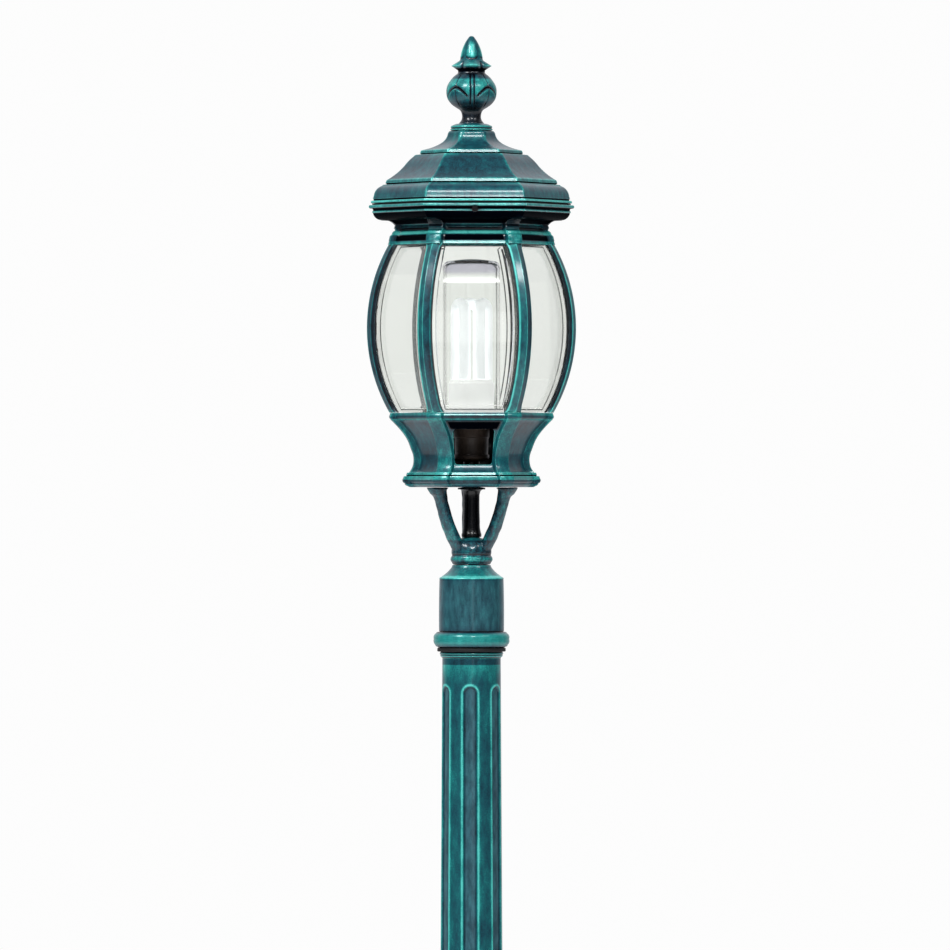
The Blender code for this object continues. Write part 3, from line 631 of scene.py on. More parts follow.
def make_base():
    """Base casting with beads, an ogee bell and a lipped flange."""
    ground = -TOP / MM

    def b(r, z):
        return (r, z + ground)

    outer = path(
        b(41, 170), b(43.2, 170), (b(45.4, 168), 0.5, 4), (b(45.4, 163), 0.6, 4), b(44, 162), b(44, 160.8),
        b(45.2, 160.2), (b(46.4, 150), -0.9, 6), (b(46.2, 136), -0.6, 6), b(47.6, 135.2), b(47.6, 134),
        b(50.6, 133), (b(52, 131.4), 0.4), (b(52, 116.6), 6.6, 12), b(50.6, 115), b(49.6, 114.4),
        b(49.6, 112.6), (b(71, 61.5), -9.4, 14), b(73.2, 61), (b(74.6, 58.6), 0.8, 4), (b(94, 26), 5.8, 12),
        b(94.6, 22.6), b(93.2, 21.6), b(93.2, 20.4), b(96.4, 19.4), (b(98.6, 17), 0.9, 4), b(98.4, 12.9),
        b(99.4, 12.1), b(122.6, 12), (b(124.9, 9.7), 0.7, 4), b(125, 0.6), b(124.5, 0),
    )
    inner = [b(86, 0), b(86, 22), b(43, 92), b(33, 98), b(33, 103.7), b(39, 103.7), b(39, 169.4)]
    profile = outer + inner
    base = loose("base_cast", turned("base_cast", profile, 144))
    for i in range(4):
        angle = pi / 4 + i * pi / 2
        hole = cylinder("hole", 5.5, ground - 5, ground + 17, 32)
        hole.data.transform(Matrix.Translation((0.1115 * cos(angle), 0.1115 * sin(angle), 0)))
        boolean(base, hole)
    drill(base, "base_grub_screw", 3.4, 18, 0.047)
    final = bare_mesh(base)
    mark(final, proudness(profile, 7, 3.2))
    link("base_cast", final, PAINT, "column", ["base_casting"], 34)


def make_sleeve():
    ring = path(
        (33.4, 27), (34.8, 27), ((36.4, 25.8), 0.35), ((38.9, 19.6), 1.2, 8), ((37.4, 13.6), 0.9, 6),
        ((35.2, 11.6), 0.5, 4), (34.2, 10.9), (25.4, 10.9), (25.4, 27),
    )
    # The collar bead is painted lighter on its bulge, as rubbed patina and painted highlight, and painted
    # shade at its top and foot.
    tones = [(27, -1), (26, -0.1), (25.2, 0.4), (22, 0.62), (15.5, 0.6), (13, 0.2), (11.6, -0.6)]
    lathe("collar_bead", ring, PAINT_SMOOTH, "lantern", ["collar_ring"], 128, tones)
    sleeve = path(
        (8, 96), (19.2, 96), (20, 95.2), (20.3, 93.8), ((30.4, 84.3), -0.7, 8), (31.2, 83.6),
        ((33.2, 81.6), 0.5, 4), (33, 80.6), (33.1, 79.4), ((33.5, 28.6), 0.25, 8), ((33, 27.3), 0.2),
        (25.4, 27.3), (25.4, 74), (8, 80),
    )
    # A painted highlight line on the shoulder's bead, and painted shade at the sleeve's top and foot.
    tones = [
        (96, -0.7), (95.2, 0.5), (93.8, 0), (90, 0.2), (85.4, 0.3), (84.3, 1.1), (82, 1.1), (81.2, -0.4),
        (79.4, -0.15), (76, 0), (31, -0.05), (28.6, -0.4), (27.3, -1),
    ]
    obj = lathe("sleeve_cast", sleeve, PAINT_COLUMN, "lantern", ["socket_sleeve"], 128, tones)
    mark(obj.data, [(81, 0), (78, 0.4), (29, 0.4), (27.3, 0)], "chalky")
    drill(obj, "sleeve_grub_screw", 3.3, 9, 0.0305)


def arm_mesh(angle):
    """One arm: an oval bar that follows the bracket's curve and spreads into a pad under the bell."""
    # (radius, height, half-depth, half-width)
    line = [
        (12, 108, 5.2, 8.6), (17.5, 116, 5.4, 8.8), (22.8, 125.6, 5.4, 8.9), (27.6, 135, 5.3, 8.8),
        (31.2, 144.5, 5.2, 8.6), (34, 153, 5.1, 8.5), (36.4, 161.5, 5.2, 8.4), (38.2, 168, 6, 8.6),
        (40.2, 172, 8.2, 9.2), (41, 174.2, 10.6, 9.8), (41.2, 175.6, 10.8, 9.8),
    ]
    rings = []
    for i, (r, z, thick, wide) in enumerate(line):
        before, after = line[max(i - 1, 0)], line[min(i + 1, len(line) - 1)]
        along = Vector((after[0] - before[0], after[1] - before[1])).normalized()
        if i >= len(line) - 2:
            along = Vector((0, 1))
        out = Vector((along.y, -along.x))
        ring = []
        for k in range(32):
            ct, st = cos(2 * pi * k / 32), sin(2 * pi * k / 32)
            a = copysign(abs(ct) ** SQUARISH, ct) * thick
            b = copysign(abs(st) ** SQUARISH, st) * wide
            ring.append(((r + out.x * a) * MM, b * MM, up(z + out.y * a)))
        rings.append(ring)
    mesh = mesh_from_rings("arm", rings)
    mesh.transform(Matrix.Rotation(angle, 4, "Z"))
    return mesh


def make_conduit():
    """Black tube from the hub to the bell, with a locking ring and a flange."""
    conduit = path(
        (8, 202.7), (8.6, 202.1), (8.6, 176), (13.9, 175.4), (14.2, 174.9), (14.2, 173.6),
        ((9.2, 171.6), -0.9, 4), (8.3, 168), ((8.7, 140), -0.2, 6), ((9.9, 128.6), -0.5, 6), (10.3, 127.8),
        (10.3, 125.3), (9.9, 124.8), (8.6, 124.6), (8.6, 97), (6.4, 97), (6.4, 202.7),
    )
    lathe("conduit_tube", conduit, BLACK, "lantern", ["wire_conduit"], 64)


def make_bracket():
    """Hub and three arms in one casting, with painted shade on the sides that face inwards."""
    hub = path(
        (0, 124.5), (9, 124), ((15.2, 121.4), 0.6, 4), ((20, 114.6), 0.5, 5), ((20.6, 107.2), 0.4, 5),
        (19.7, 106), (19.9, 105.4), ((20.2, 98.6), 1.9, 10), (19.6, 98), (19.9, 97.4), (19.3, 96.3),
        (0, 96.3),
    )
    body = loose("bracket_cast", turned("bracket_cast", hub, 96))
    for angle in ARM_ANGLES:
        boolean(body, loose("arm", arm_mesh(angle)), "UNION")
    remesh = body.modifiers.new("remesh", "REMESH")
    remesh.mode = "VOXEL"
    remesh.voxel_size = 0.00085
    smooth = body.modifiers.new("smooth", "SMOOTH")
    smooth.iterations = 6
    smooth.factor = 0.6
    apply_all(body)
    mesh = bare_mesh(body)
    # Painted highlights on the hub's top edge and bead, and painted shade in its grooves.
    hub_tones = [
        (124.4, 0.6), (122, 0.5), (120.5, -0.3), (108, -0.25), (106.4, -1), (105.2, 0.1), (102, 0.7),
        (99.2, 0.2), (98, -1), (97.4, 0.3), (96.3, -0.5),
    ]
    normals = [v.normal.copy() for v in mesh.vertices]
    paint = []
    for v, normal in zip(mesh.vertices, normals):
        height = height_of(v.co)
        outwards = Vector((v.co.x, v.co.y, 0)).normalized().dot(normal)
        on_hub = ease(127, 121, height)
        # Outward faces of the arms are painted lighter, and inward faces, between the arms, dark as painted
        # shade.
        arm = 0.3 * ease(0.2, 0.9, outwards) - 1.2 * ease(0, -0.5, outwards)
        paint.append(arm * (1 - on_hub) + level(hub_tones, height) * on_hub)
        v.co += normal * (noise.noise(v.co * 140) * 0.00035)
    store(mesh, paint)
    link("bracket_cast", mesh, PAINT_ROUGH, "lantern", ["bracket_casting"], 80)


# ---- lantern


def bell_levels():
    """(corner radius, height) down the bell's outside."""
    waist = spline([
        (93, 254), (82.6, 244.6), (72.6, 233.9), (66.3, 224.6), (62.6, 215.3), (60.4, 209.1), (59.9, 203),
        (61.1, 196.8), (64.6, 191), (69, 186),
    ], 4)
    return path(
        (84, 252.4), (84.2, 250.9), (84.5, 250.3), (85, 248.7), (84.9, 248), ((84.3, 246.6), 0.2, 2),
        (83.6, 246.2), (83.6, 245.5), (83.2, 244.9), *waist, (66.6, 190.9), (67.4, 188.8), (67.2, 188.4),
        (67, 187.6), (69.9, 187.2), (71.1, 184), (71.6, 183.6), ((71.3, 183), 0.2, 2), ((70, 180.4), 0.4),
        (69, 180), (68.9, 179.2), ((66.3, 177.2), 0.4), (64, 176),
    )


# Painted highlight lines on the foot's beads and painted shadow lines under them.
BELL_FOOT = [
    (191.2, 0.2), (190.9, 0.6), (188.8, 0.6), (188.4, -1.3), (187.6, -1.3), (187.2, 0.6), (184, 0.5),
    (183.2, -0.6), (180.6, -0.4), (179.8, -0.9), (179, 0.3), (177.6, 0), (176, -0.4),
]
# The window faces get brighter painted highlight lines than the plain faces, and painted shade over the
# window.
WINDOW_FACE = [
    (252.4, -0.1), (250.8, -0.1), (250.3, 1), (249.4, 0.9), (248.8, -0.8), (246.4, -0.7), (245.5, 0.3),
    (244.9, 0.2), (243.6, -1.6), (236, -1.5), (233, 0.15), (201, 0.3), (198, 0.1), (192, -0.2), *BELL_FOOT,
]
PLAIN_FACE = [
    (252.4, 0.3), (250, 0.4), (248.6, -0.4), (246.4, -0.4), (245.5, 0.4), (244.9, 0.3), (243.6, -0.5),
    (225, -0.2), (192, -0.3), *BELL_FOOT,
]
PILASTER = [
    (252.4, 0.4), (249.2, 0.6), (248.2, 0), (246.4, 0), (245.5, 0.6), (243, 0.2), (192, 0.15), *BELL_FOOT,
]


def bell_tone(point, outline):
    """Painted shade inside and over the windows, painted highlights as thin bright edges on the mouldings,
    and bright pilasters.
    """
    height = height_of(point)
    around = atan2(point.y, point.x)
    reach = hypot(point.x, point.y) / MM
    turn = abs(remainder(around, pi / 3))
    if reach * cos(pi / 6 - turn) < outline_radius(outline, height) * cos(pi / 6) - 4:
        return -1
    on_window = abs(remainder(around + pi / 2, 2 * pi / 3)) < pi / 6
    face = level(WINDOW_FACE if on_window else PLAIN_FACE, height)
    pilaster = ease(9.6, 8.4, reach * sin(turn))
    return face + (level(PILASTER, height) - face) * pilaster


def make_bell():
    """Bell with pilasters at its corners, a floor, and windows in three of its faces."""
    outer = bell_levels()
    inner = [(20, 175.95), (20, 180.2), (54, 180.2), (54.8, 203)]
    inner += list(reversed(arc((77, 243), (54.8, 203), -6.6, 6)[:-1]))
    inner += [(75, 244), (75, 247.3), (79.5, 247.3), (79.5, 252.4)]
    rings = [hex_ring(r, z, 1.2, (8.2, 2) if 191.5 < z < 245 else (8.6, 1.2)) for r, z in outer]
    rings += [hex_ring_plain(r, z) for r, z in inner]
    body = loose("bell_cast", mesh_from_rings("bell_cast", rings, wrap=True))
    floor = loose("floor", turned("floor", [(0, 180.2), (21, 180.2), (21, 175.95), (0, 175.95)], 48))
    boolean(body, floor, "UNION")
    for angle in WINDOW_ANGLES:
        boolean(body, window_cutter(angle))
    mod = body.modifiers.new("bevel", "BEVEL")
    mod.width = 0.6 * MM
    mod.segments = 2
    mod.limit_method = "ANGLE"
    mod.angle_limit = radians(38)
    mod.miter_outer = "MITER_ARC"
    apply_all(body)
    mesh = bare_mesh(body)
    store(mesh, [bell_tone(v.co, outer + inner) for v in mesh.vertices])
    link("bell_cast", mesh, PAINT, "lantern", ["bell_casting"], 34)


def window_cutter(angle):
    bm = bmesh.new()
    bmesh.ops.create_cube(bm, size=2)
    for v in bm.verts:
        half, height = (21.3, 235.6) if v.co.z > 0 else (19, 199)
        v.co = Vector(((85 if v.co.x > 0 else 35) * MM, half * MM * v.co.y, up(height)))
    edges = [e for e in bm.edges if abs((e.verts[0].co - e.verts[1].co).normalized().x) > 0.99]
    bmesh.ops.bevel(bm, geom=edges, offset=3.2 * MM, segments=6, profile=0.5, affect="EDGES")
    bmesh.ops.rotate(bm, verts=bm.verts, cent=(0, 0, 0), matrix=Matrix.Rotation(angle, 3, "Z"))
    bmesh.ops.recalc_face_normals(bm, faces=bm.faces)
    return loose("window", to_mesh("window", bm))


RIB_MAX, RIB_MID, RIB_BULGE = 107.8, 339.9, 175.4
CAGE_LOW, CAGE_HIGH = 252.7, 426.1


def rib_radius(height):
    return RIB_MAX - RIB_BULGE + sqrt(RIB_BULGE**2 - (height - RIB_MID) ** 2)


def make_ribs():
    """Bowed ribs with a ridged face, flared ends, and a low web that parts the panels behind."""
    levels = 48
    for i in range(SIDES):
        rings, paint = [], []
        for j in range(levels + 1):
            h = CAGE_LOW + (CAGE_HIGH - CAGE_LOW) * j / levels
            from_end = min(h - CAGE_LOW, CAGE_HIGH - h)
            end = max(0, 1 - from_end / 9) ** 2
            w = 7.7 + 1.6 * end
            r = rib_radius(h)
            # (radius, across, paint on the side painted as lit, paint on the side painted as shaded), from
            # the ridge to the web
            half = [
                (r, 0, 0.3, 0.3), (r - 0.5, 0.9, 0.15, -0.1), (r - 2.6, w - 2.4, 0, -0.45),
                (r - 3, w - 1.7, 0.6, -0.4), (r - 3.1, w - 0.9, 1.2, 0.1), (r - 3.7, w - 0.2, 1.1, -0.1),
                (r - 4.6, w, -0.5, -0.9), (r - 7.4, w, -0.9, -0.9), (r - 8.2, w - 0.7, -0.9, -0.9),
                (r - 8.2, 1.1, -0.8, -0.8), (r - 9.5, 1.1, -0.8, -0.8), (r - 9.7, 0.6, -0.8, -0.8),
                (r - 9.7, 0, -0.8, -0.8),
            ]
            # One side of each rib is painted lighter and the other darker, as painted light and shade. The
            # web inside is painted shade.
            both = [(a, b, dull) for a, b, _, dull in half]
            both += [(a, -b, bright) for a, b, bright, _ in reversed(half) if b > 1e-9]
            rings.append([(a * MM, b * MM, up(h)) for a, b, _ in both])
            paint += [tone + 0.8 * end for _, _, tone in both]
        mesh = mesh_from_rings(f"rib_cast_{i + 1}", rings)
        store(mesh, paint)
        mesh.transform(Matrix.Rotation(i * pi / 3, 4, "Z"))
        link(f"rib_cast_{i + 1}", mesh, PAINT, "lantern", [f"rib_{i + 1}"], 24)


def make_panels():
    """Bowed clear panels, each with a fine groove round its field."""
    low, high = CAGE_LOW + 0.4, CAGE_HIGH - 0.4
    border = [-3, 0, 2.5, 4.9, 5.3, 5.7, 6.1, 6.5, 9.5]  # mm in from the edge, close at the groove
    ends = [0, 2.1, 2.5, 2.9, 3.3, 3.7, 6.7]
    middle = [low + 6.7 + (high - low - 13.4) * k / 44 for k in range(1, 44)]
    heights = [low + b for b in ends] + middle + [high - b for b in reversed(ends)]
    for i in range(SIDES):
        bm = bmesh.new()
        shade = bm.verts.layers.float.new("groove")
        grids = ([], [])
        for h in heights:
            corner = rib_radius(h) - 8.5
            half = corner / 2 - 4.2
            flat = corner * cos(pi / 6)
            at = [half - b for b in border]
            xs = at + [at[-1] * (1 - k / 4) for k in range(1, 4)] + [0]
            xs += [-x for x in reversed(xs[:-1])]
            for grid in grids:
                grid.append([])
            for x in xs:
                inwards = min(half - abs(x), h - low + 2.8, high - h + 2.8)
                # The groove is also painted darker on the glass: a painted dark line for its refraction.
                line = groove(inwards - 5.7, 0.42)
                outer = bm.verts.new(((flat - 0.3 - 0.8 * line) * MM, x * MM, up(h)))
                outer[shade] = line
                grids[0][-1].append(outer)
                grids[1][-1].append(bm.verts.new(((flat - 2.5) * MM, x * MM, up(h))))
        close_sheet(bm, *grids)
        turn = Matrix.Rotation((i + 0.5) * pi / 3, 3, "Z")
        bmesh.ops.rotate(bm, verts=bm.verts, cent=(0, 0, 0), matrix=turn)
        mesh = to_mesh(f"panel_{i + 1}", bm)
        link(f"panel_{i + 1}", mesh, PANEL, "lantern", [f"glass_panel_{i + 1}"], 30)


def close_sheet(bm, outer, inner):
    """Faces over two grids of vertices and round their four edges."""

    def strip(a, b):
        for k in range(len(a) - 1):
            bm.faces.new((a[k], a[k + 1], b[k + 1], b[k]))

    for grid in (outer, inner):
        for a, b in zip(grid, grid[1:]):
            strip(a, b)
    for j in (0, -1):
        strip(outer[j], inner[j])
    for k in (0, -1):
        strip([row[k] for row in outer], [row[k] for row in inner])
    bmesh.ops.recalc_face_normals(bm, faces=bm.faces)


def make_crown():
    """Crown over the ribs: a flange under the roof, a cove with corner strips and painted shade, and a ring.
    """
    outer = path(
        (104, 466.4), ((105.8, 465.4), 0.4), (105.9, 464), ((104.2, 462.9), 0.3), (101.9, 462.6),
        (101.3, 460.9), (102, 460.3), (102.5, 458.9), (101.6, 458.2), ((93.6, 450.9), 1.8, 7), (92.6, 450.5),
        ((79.1, 445.3), -2.2, 7), (79.3, 444.9), (80.1, 442.4), (79.4, 442), (79, 440), (80.2, 439.6),
        (81.8, 438.2), (82.5, 436), (84.2, 434.5), (84.4, 434.2), (85.4, 429.8), (85.2, 429.2), (85.4, 428.3),
        (86.2, 425.8), (85.2, 425),
    )
    inner = [
        (78.6, 425), (78.6, 426.4), (71.5, 426.4), (71.5, 440), (75.5, 445.6), (88, 452.8), (96, 457),
        (96, 466.4),
    ]
    rings = [hex_ring(r, z, 1.2, (8.4, 1.5)) if z < 450 else hex_ring_plain(r, z) for r, z in outer]
    rings += [hex_ring_plain(r, z) for r, z in inner]
    mesh = mesh_from_rings("crown_cast", rings, wrap=True)
    # Painted highlight lines on the beads, and painted shade in the cove under the roof's rim and under each
    # bead.
    flange = [(466.4, 0.6), (464, 0.6), (463, -1.5), (460.9, -1.5), (460.3, 0.7), (458.9, 0.6), (458, -1.6)]
    face = [
        *flange, (452, -2.4), (446.2, -2), (445.4, 0.8), (442.6, 0.8), (442.2, -1.4), (440.1, -1.4),
        (439.4, 1.3), (435.5, 1.3), (434.3, -1.5), (429.4, -1.5), (428.2, 0.6), (425.8, 0.6), (425, -0.8),
    ]
    strip = [
        *flange, (452, -1.3), (446, -0.9), (442, -0.3), (439.2, 0.8), (436.6, 0.8), (434.8, 0.4), (426, 0.3),
    ]
    paint = []
    for v in mesh.vertices:
        tone = level(face, height_of(v.co))
        paint.append(tone + (level(strip, height_of(v.co)) - tone) * ease(9.4, 8, off_corner(v.co)))
    store(mesh, paint)
    link("crown_cast", mesh, PAINT, "lantern", ["crown_casting"], 30)


# ---- roof, finial and lamp


def make_roof():
    """Three tiers over a deep rim. The hexagon's corners are rounder towards the round cap."""
    flare = spline([
        (20, 546), (23, 542.6), (24.4, 540.6), (25.2, 537.7), (26.8, 534.6), (29.7, 531.5), (34.8, 528.4),
        (42.4, 525.3), (51.6, 522.9), (60, 521),
    ], 3)
    outer = path(
        (20.4, 543), *flare, (52.4, 522.3), (53.3, 519.8), (52.9, 519.3), (52, 518.9), (57, 518.3),
        ((59.4, 516.9), 0.4), ((69.5, 506.6), 0.5, 6), ((86.9, 492.5), -0.9, 8), (87.8, 491.9), (88.8, 489.2),
        (88.3, 488.5), (87.4, 487.9), (89.9, 487.5), ((92.4, 486.2), 0.4), ((100.9, 475.8), 2, 8),
        (101.8, 472.8), (101, 471.9), (101, 471.2), (103.5, 470.7), (103.95, 469.2), ((103.8, 468.6), 0.1, 2),
        (102.8, 468.2),
    )
    inner = [
        (95.2, 468.2), (95.2, 457.8), (92.2, 457.8), (92.2, 472.5), (97, 475.4), (94.2, 480), (84, 487),
        (65.6, 503.6), (54.6, 513.4), (48.6, 515.6), (48, 519), (38, 525.4), (28, 531.6), (20, 537.6),
        (16, 539.4), (6, 539.4), (6, 543),
    ]
    rings = []
    for r, z in outer:
        rounding = 1.1 + 6.5 * ease(530, 543, z)
        rings.append(hex_ring(r + 0.155 * (rounding - 1.1), z, rounding))
    rings += [hex_ring(r, z, min(1.1, r * 0.2)) for r, z in inner]
    mesh = mesh_from_rings("roof_cast", rings, wrap=True)
    # Pale lines on the lips are painted highlights, and the dark lines under them are painted shadow.
    tones = [
        (543, 0.1), (536, 0), (530, -0.25), (524, -0.3), (522.9, 0.5), (519.9, 0.5), (519.3, -1.4),
        (518.8, -1.4), (518.3, 0.3), (516.9, 0.1), (515, -0.25), (493.4, -0.25), (492.4, 0.5), (489.3, 0.5),
        (488.5, -1.4), (487.9, -1.4), (487.5, 0.3), (486.2, 0.1), (484.5, -0.2), (479, 0), (476.6, 0.1),
        (472.9, 0.1), (471.9, -1.4), (471.2, -1.4), (470.8, 1.2), (469.2, 1), (468.6, 0.3),
    ]
    paint = []
    for v in mesh.vertices:
        # A painted highlight along each hip, fading out near the round cap.
        hip_highlight = ease(1.8, 1, off_corner(v.co)) * ease(541, 537, height_of(v.co))
        paint.append(level(tones, height_of(v.co)) + 0.5 * hip_highlight)
    store(mesh, paint)
    link("roof_cast", mesh, PAINT, "roof", ["roof_casting"], 30)
    cap = path(
        (4.4, 550.3), (13.6, 550.3), ((19.8, 548.3), 0.5, 5), ((21.4, 547), 0.5, 4), (21.4, 546.2),
        ((20.7, 545.5), 0.2, 2), (20.7, 545.1), ((21.9, 544.4), 0.3), (21.9, 543.8), (21.2, 543.3),
        (4.4, 543.3),
    )
    # Two painted highlight lines on the cap ring's beads, with painted shade in the groove between them.
    tones = [
        (550.3, -0.1), (548.3, 0.3), (547.2, 1), (546.4, 0.9), (545.8, -1), (545, -1), (544.4, 1),
        (543.4, 0.7),
    ]
    lathe("cap_ring", cap, PAINT_SMOOTH, "roof", ["roof_cap_ring"], 96, tones)


def finial_profile():
    """(radius, height) from the tip down, in fine steps."""
    return path(
        (0, 640.7), (1.2, 640.5), (2.3, 640), ((11.6, 617.4), 1.8, 30), ((12.5, 614.6), 0.1, 6),
        ((13.4, 609.8), 0.1, 14), ((13.9, 604.6), 0.1, 12), ((15, 601.4), -0.5, 7), ((22.2, 593.3), 0.4, 16),
        ((25.4, 583.2), 0.9, 20), ((23.6, 574.8), 0.5, 16), ((13.7, 565.5), 0.9, 16),
        ((10.6, 562.2), -0.4, 7), ((9.7, 557.4), -0.2, 6), ((11, 553.2), -0.3, 6), ((12.8, 551), -0.1, 4),
        (12.8, 550.6),
    )


def bud_relief(turn, z):
    """(mm added to the radius, paint) on the ogive bud above the leaf tips. The paint holds painted
    highlights and shade.
    """
    facet = 0.5 - 0.5 * cos(4 * turn)
    arch = groove(z - 616.6 - 7 * turn * turn, 0.9) * ease(0.75, 0.45, abs(turn))
    # A painted highlight down the middle of each leaf's facet. The arch's groove is painted shade.
    facet_highlight = groove(turn, 0.42) * ease(617.5, 621, z) * ease(637, 631, z)
    return -0.9 * ease(638, 622, z) * facet - 0.3 * arch, 0.2 + facet_highlight - 0.2 * facet - 1.3 * arch


def leaf_tip_relief(turn, z):
    """Four leaves that turn out to a point: sharp in side view, with painted shade under and between them and
    a painted highlight on each tip.
    """
    lobe = max(0, cos(2 * turn)) ** 1.2
    point = max(0, 1 - abs(z - 609.8) / (5.4 if z > 609.8 else 4.6))
    # Painted shade under each tip and between the leaves.
    under = ease(608.6, 606.6, z) * ease(602.4, 604.2, z)
    between = ease(0.25, 0, lobe) * ease(616, 612, z) * ease(603, 606, z)
    return 7.4 * point * lobe, 1.1 * point**2 * lobe - 1.5 * under - 0.8 * between


def bulb_relief(turn, side, r, z):
    """Four leaves: two veins up the middle of each, and grooves that arch over to the next leaf."""
    fade = ease(566, 571, z) * ease(602, 598.5, z)
    across = abs(turn * r)
    t = abs(turn) / radians(45)
    vein = groove(across - 2, 0.62)
    arch_at = 587.4 - 9.8 * min(1, (1 - t) / 0.74) ** 1.7
    arch = groove(z - arch_at, 1.5) * ease(0.22, 0.32, t)
    lip = groove(z - arch_at + 2.6, 1.2) * ease(0.24, 0.36, t)
    gap = groove(side * r, 0.6)
    upper = ease(arch_at + 0.8, arch_at + 3, z) * ease(2.4, 3.4, across)
    cut = max(1.1 * vein, 1.8 * arch, 1.2 * gap)
    # Painted shade in the veins, arches and gaps; painted highlights on the lip under each arch, on the upper
    # lobes and down each leaf's middle; and painted shade towards the neck.
    paint = 0.5 * lip + 0.5 * upper + 0.4 * groove(across, 1) - 1.5 * max(vein, arch, 0.8 * gap)
    return fade * (0.5 * lip - cut + 0.5 * cos(4 * turn)), fade * (paint + 0.1) - 0.8 * ease(575, 569, z)


def make_finial():
    """Bud finial: a faceted ogive, four turned-out leaf tips and a bulb of four acanthus leaves."""
    steps = 288
    rings, paint = [], []
    for r, z in finial_profile():
        if r < 1e-6:
            rings.append([(0, 0, up(z))])
            paint.append(0.3)
            continue
        # Painted shade in the neck between the leaf tips and the bulb, and on the neck under the bulb.
        base = -ease(604, 602, z) * ease(595, 598, z) - ease(567, 563, z)
        ring = []
        for i in range(steps):
            angle = 2 * pi * i / steps
            turn = remainder(angle + pi / 2, pi / 2)  # from the nearest leaf's middle
            side = remainder(angle + pi / 4, pi / 2)  # from the nearest gap between leaves
            if z > 615.4:
                add, tone = bud_relief(turn, z)
            elif z > 602:
                add, tone = leaf_tip_relief(turn, z)
            else:
                add, tone = bulb_relief(turn, side, r, z)
            radius = (r + add) * MM
            ring.append((radius * cos(angle), radius * sin(angle), up(z)))
            paint.append(base + tone if z > 570 else max(-1, base + tone))
        rings.append(ring)
    for z in (550.6, 572):
        rings.append(circle(4.4 * MM, up(z), steps))
        paint += [-1] * steps
    rings.append([(0, 0, up(572))])
    paint.append(-1)
    mesh = mesh_from_rings("finial_bud", rings)
    store(mesh, paint)
    link("finial_bud", mesh, PAINT, "finial", ["finial"], 60)


def make_lamp():
    holder = path(
        (14.2, 236), (17.2, 236), ((18.4, 235.2), 0.3), (18.4, 227.4), (17.7, 226.6), (17.7, 225.8),
        (17.4, 225.2), (17.1, 210.4), (17.4, 209.6), (18.2, 209.2), (18.2, 206.4), ((16.4, 204.4), 0.5),
        (13, 203), (3.8, 203), (3.8, 207), (14.2, 207),
    )
    lathe("holder_shell", holder, BAKELITE, "lantern", ["lamp_holder"], 96)
    thread = [(0, 211.6), (4.8, 211.6), (9, 214), (12.4, 217)]
    for i in range(7):
        z = 218.4 + i * 3.4
        thread += [(12.6, z), (13.15, z + 0.9), (13.15, z + 1.5), (12.6, z + 2.4)]
    thread += [(12.9, 243), (12.4, 243.6), (0, 243.6)]
    lathe("cap_threaded", thread, BRASS, "lamp", ["lamp_cap"], 64)
    ballast = path(
        (0, 287), (20.6, 287), ((22, 286.2), 0.3), (22.3, 283.6), (23.4, 283), (23.6, 282.2), (23.6, 264.6),
        (23.2, 263.8), ((15.4, 247), 1.3, 8), (15.2, 244.4), (14.2, 243.9), (0, 243.9),
    )
    lathe("ballast_shell", ballast, WHITE, "lamp", ["lamp_ballast"], 96)
    for i in range(3):
        make_tube(i)
    jar = path(
        (0, 410.6), ((23.4, 408.6), 0.6, 8), ((29.3, 400.4), 2.2, 8), (29.3, 397.4), (29.3, 393.6),
        (29.3, 391), (29, 390.6), (29, 389.6), (29.3, 389.2), (29.3, 387.6), (29.3, 386), (29.3, 251.8),
        (27, 251.8), (27, 386), (27, 387.6), (27, 393.6), (27, 397.4), (27, 399), ((22.4, 405.9), -1.8, 8),
        ((0, 408.2), -0.6, 6),
    )
    obj = lathe("jar_glass", jar, JAR, "jar", ["glass_jar"])
    # Stops for the jar's painted highlight band, which glows, and for its dome, painted grey as shade.
    painted_glow = [(411, -1), (401, -1), (397.4, -0.7), (393.6, 0), (391, 0.3), (387.6, 0.5), (386, 0)]
    mark(obj.data, painted_glow, "lit")


def make_tube(i):
    reach, spread, radius = 13.5, 8, 5.9
    low, high = 287.3, 371 - radius - spread
    heights = [low, low + 6] + [low + (high - low) * k / 6 for k in range(1, 6)]
    line = [(-spread, z) for z in heights]
    line += [(-spread * cos(pi * k / 12), high + spread * sin(pi * k / 12)) for k in range(13)]
    line += [(spread, z) for z in reversed(heights)]
    rings = []
    side = Vector((1, 0, 0))
    for j, (y, z) in enumerate(line):
        before, after = line[max(j - 1, 0)], line[min(j + 1, len(line) - 1)]
        third = Vector((0, after[0] - before[0], after[1] - before[1])).normalized().cross(side)
        ring = []
        for k in range(24):
            t = 2 * pi * k / 24
            p = Vector((reach, y, z)) + (side * cos(t) + third * sin(t)) * radius
            ring.append((p.x * MM, p.y * MM, up(p.z)))
        rings.append(ring)
    mesh = mesh_from_rings(f"tube_bent_{i + 1}", rings)
    mesh.transform(Matrix.Rotation(radians(-30 + 120 * i), 4, "Z"))
    link(f"tube_bent_{i + 1}", mesh, TUBE, "lamp", [f"lamp_tube_{i + 1}"], 50)


def repaint():
    """Better materials for the CAD nodes that stay."""
    rules = (
        (ZINC, ("anchor_bolt", "base_grub", "sleeve_grub", "bracket_bolt", "finial_stud", "stud_nut")),
        (BLACK, ("crown_screw",)),
        (RUBBER, ("supply_cable", "cable_joint", "roof_gasket")),
        (BRASS, ("conduit_nut", "earth_terminal", "centre_contact")),
        (PAINT_DARK, ("lamp_tray",)),
        (WHITE, ("jar_ring",)),
    )
    for name, obj in frame["nodes"].items():
        for mat, prefixes in rules:
            if name.startswith(prefixes):
                obj.data.materials.clear()
                obj.data.materials.append(mat)


# ---- stage


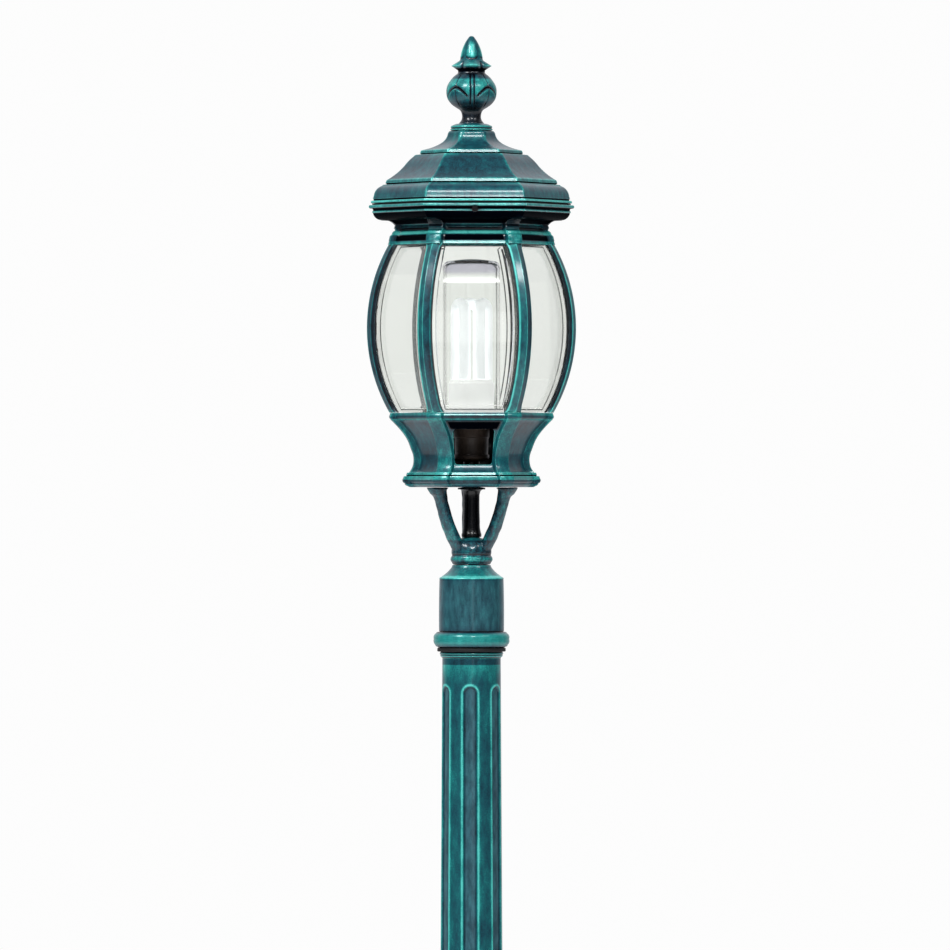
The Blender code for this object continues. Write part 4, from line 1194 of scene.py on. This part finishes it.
def area_light(name, place, size, power):
    """A soft light that points at the lantern."""
    data = bpy.data.lights.new(name, "AREA")
    data.shape = "RECTANGLE"
    data.size, data.size_y = size
    data.energy = power
    obj = loose(name, data)
    obj.location = place
    obj.rotation_euler = (Vector((0, 0, 1.8)) - Vector(place)).to_track_quat("-Z", "Y").to_euler()
    return obj


def make_world():
    """White backdrop. Shiny paint mirrors it only behind the post, and the room in front is dim."""
    n = Nodes("studio", "Generated", bpy.data.worlds)
    rays = n.add("ShaderNodeLightPath").outputs

    def graded(direction, stops, strength):
        along = n.make("ShaderNodeVectorMath", "Value", {0: n.coords, 1: direction}, operation="DOT_PRODUCT")
        colour = n.ramp(along, stops)
        return n.make("ShaderNodeBackground", 0, {"Color": colour, "Strength": strength})

    def mixed(factor, first, second):
        return n.make("ShaderNodeMixShader", 0, {0: factor, 1: first, 2: second})

    room = graded((0, 0, 1), ((0, (0.1, 0.11, 0.12)), (0.9, (0.9, 0.93, 1))), 0.5)
    mirrored = graded((0, 0.8, 0.45), ((0.3, (0.06, 0.07, 0.09)), (0.9, (0.95, 0.96, 1))), 0.84)
    white = n.make("ShaderNodeBackground", 0, {"Color": (0.98, 0.98, 0.98)})
    seen = n.math("MAXIMUM", rays["Is Camera Ray"], rays["Is Transmission Ray"])
    lit = mixed(rays["Is Glossy Ray"], room, mirrored)
    n.put(n.tree.nodes["World Output"].inputs["Surface"], mixed(seen, lit, white))
    bpy.context.scene.world = n.owner


def make_stage():
    """Paper floor, backdrop and four soft lights. The clear pieces don't mirror the front light."""
    bm = bmesh.new()
    bmesh.ops.create_circle(bm, cap_ends=True, segments=96, radius=8)
    n = Nodes("floor_paper")
    paper = n.mix(n.range(n.noise(3, 3), 0.3, 0.7), (0.86, 0.86, 0.86), (0.9, 0.9, 0.9))
    floor = loose("floor", to_mesh("floor", bm))
    floor.data.materials.append(n.shade({"Base Color": paper, "Roughness": 0.9, "Emission Strength": 0.15}))
    make_world()
    area_light("left", (-2.7, -2.6, 5), (1.5, 1.5), 150)
    area_light("right", (2.7, -2.6, 5), (1.3, 1.3), 45)
    front = area_light("front", (0.32, -4.2, 4.75), (0.9, 0.9), 75)
    clear_ones = bpy.data.collections.new("clear_pieces")
    for obj in bpy.data.objects:
        if obj.type == "MESH" and obj.data.materials and obj.data.materials[0] in (PANEL, JAR):
            clear_ones.objects.link(obj)
    for member in clear_ones.collection_objects:
        member.light_linking.link_state = "EXCLUDE"
    front.light_linking.receiver_collection = clear_ones
    area_light("fill", (0.45, -8.3, 2), (1, 2.6), 6)
    settings = bpy.context.scene.view_settings
    settings.view_transform = "Standard"
    settings.look = "None"


def make_camera():
    distance = 10
    turn = radians(-2.2)
    aside = 0.0036  # the view's middle lies this far to the right of the column's axis
    wide = 950 * 1.03 * MM  # metres across the view at the post
    data = bpy.data.cameras.new("camera")
    data.lens = data.sensor_width * distance / wide
    camera = loose("camera", data)
    east, north = sin(turn), cos(turn)
    camera.location = (distance * east + aside * north, aside * east - distance * north, TOP + 0.1885)
    camera.rotation_euler = (pi / 2, 0, turn)
    bpy.context.scene.camera = camera


make_shaft()
make_head()
make_base()
make_sleeve()
make_bracket()
make_conduit()
make_bell()
make_ribs()
make_panels()
make_crown()
make_roof()
make_finial()
make_lamp()
repaint()
make_stage()
make_camera()
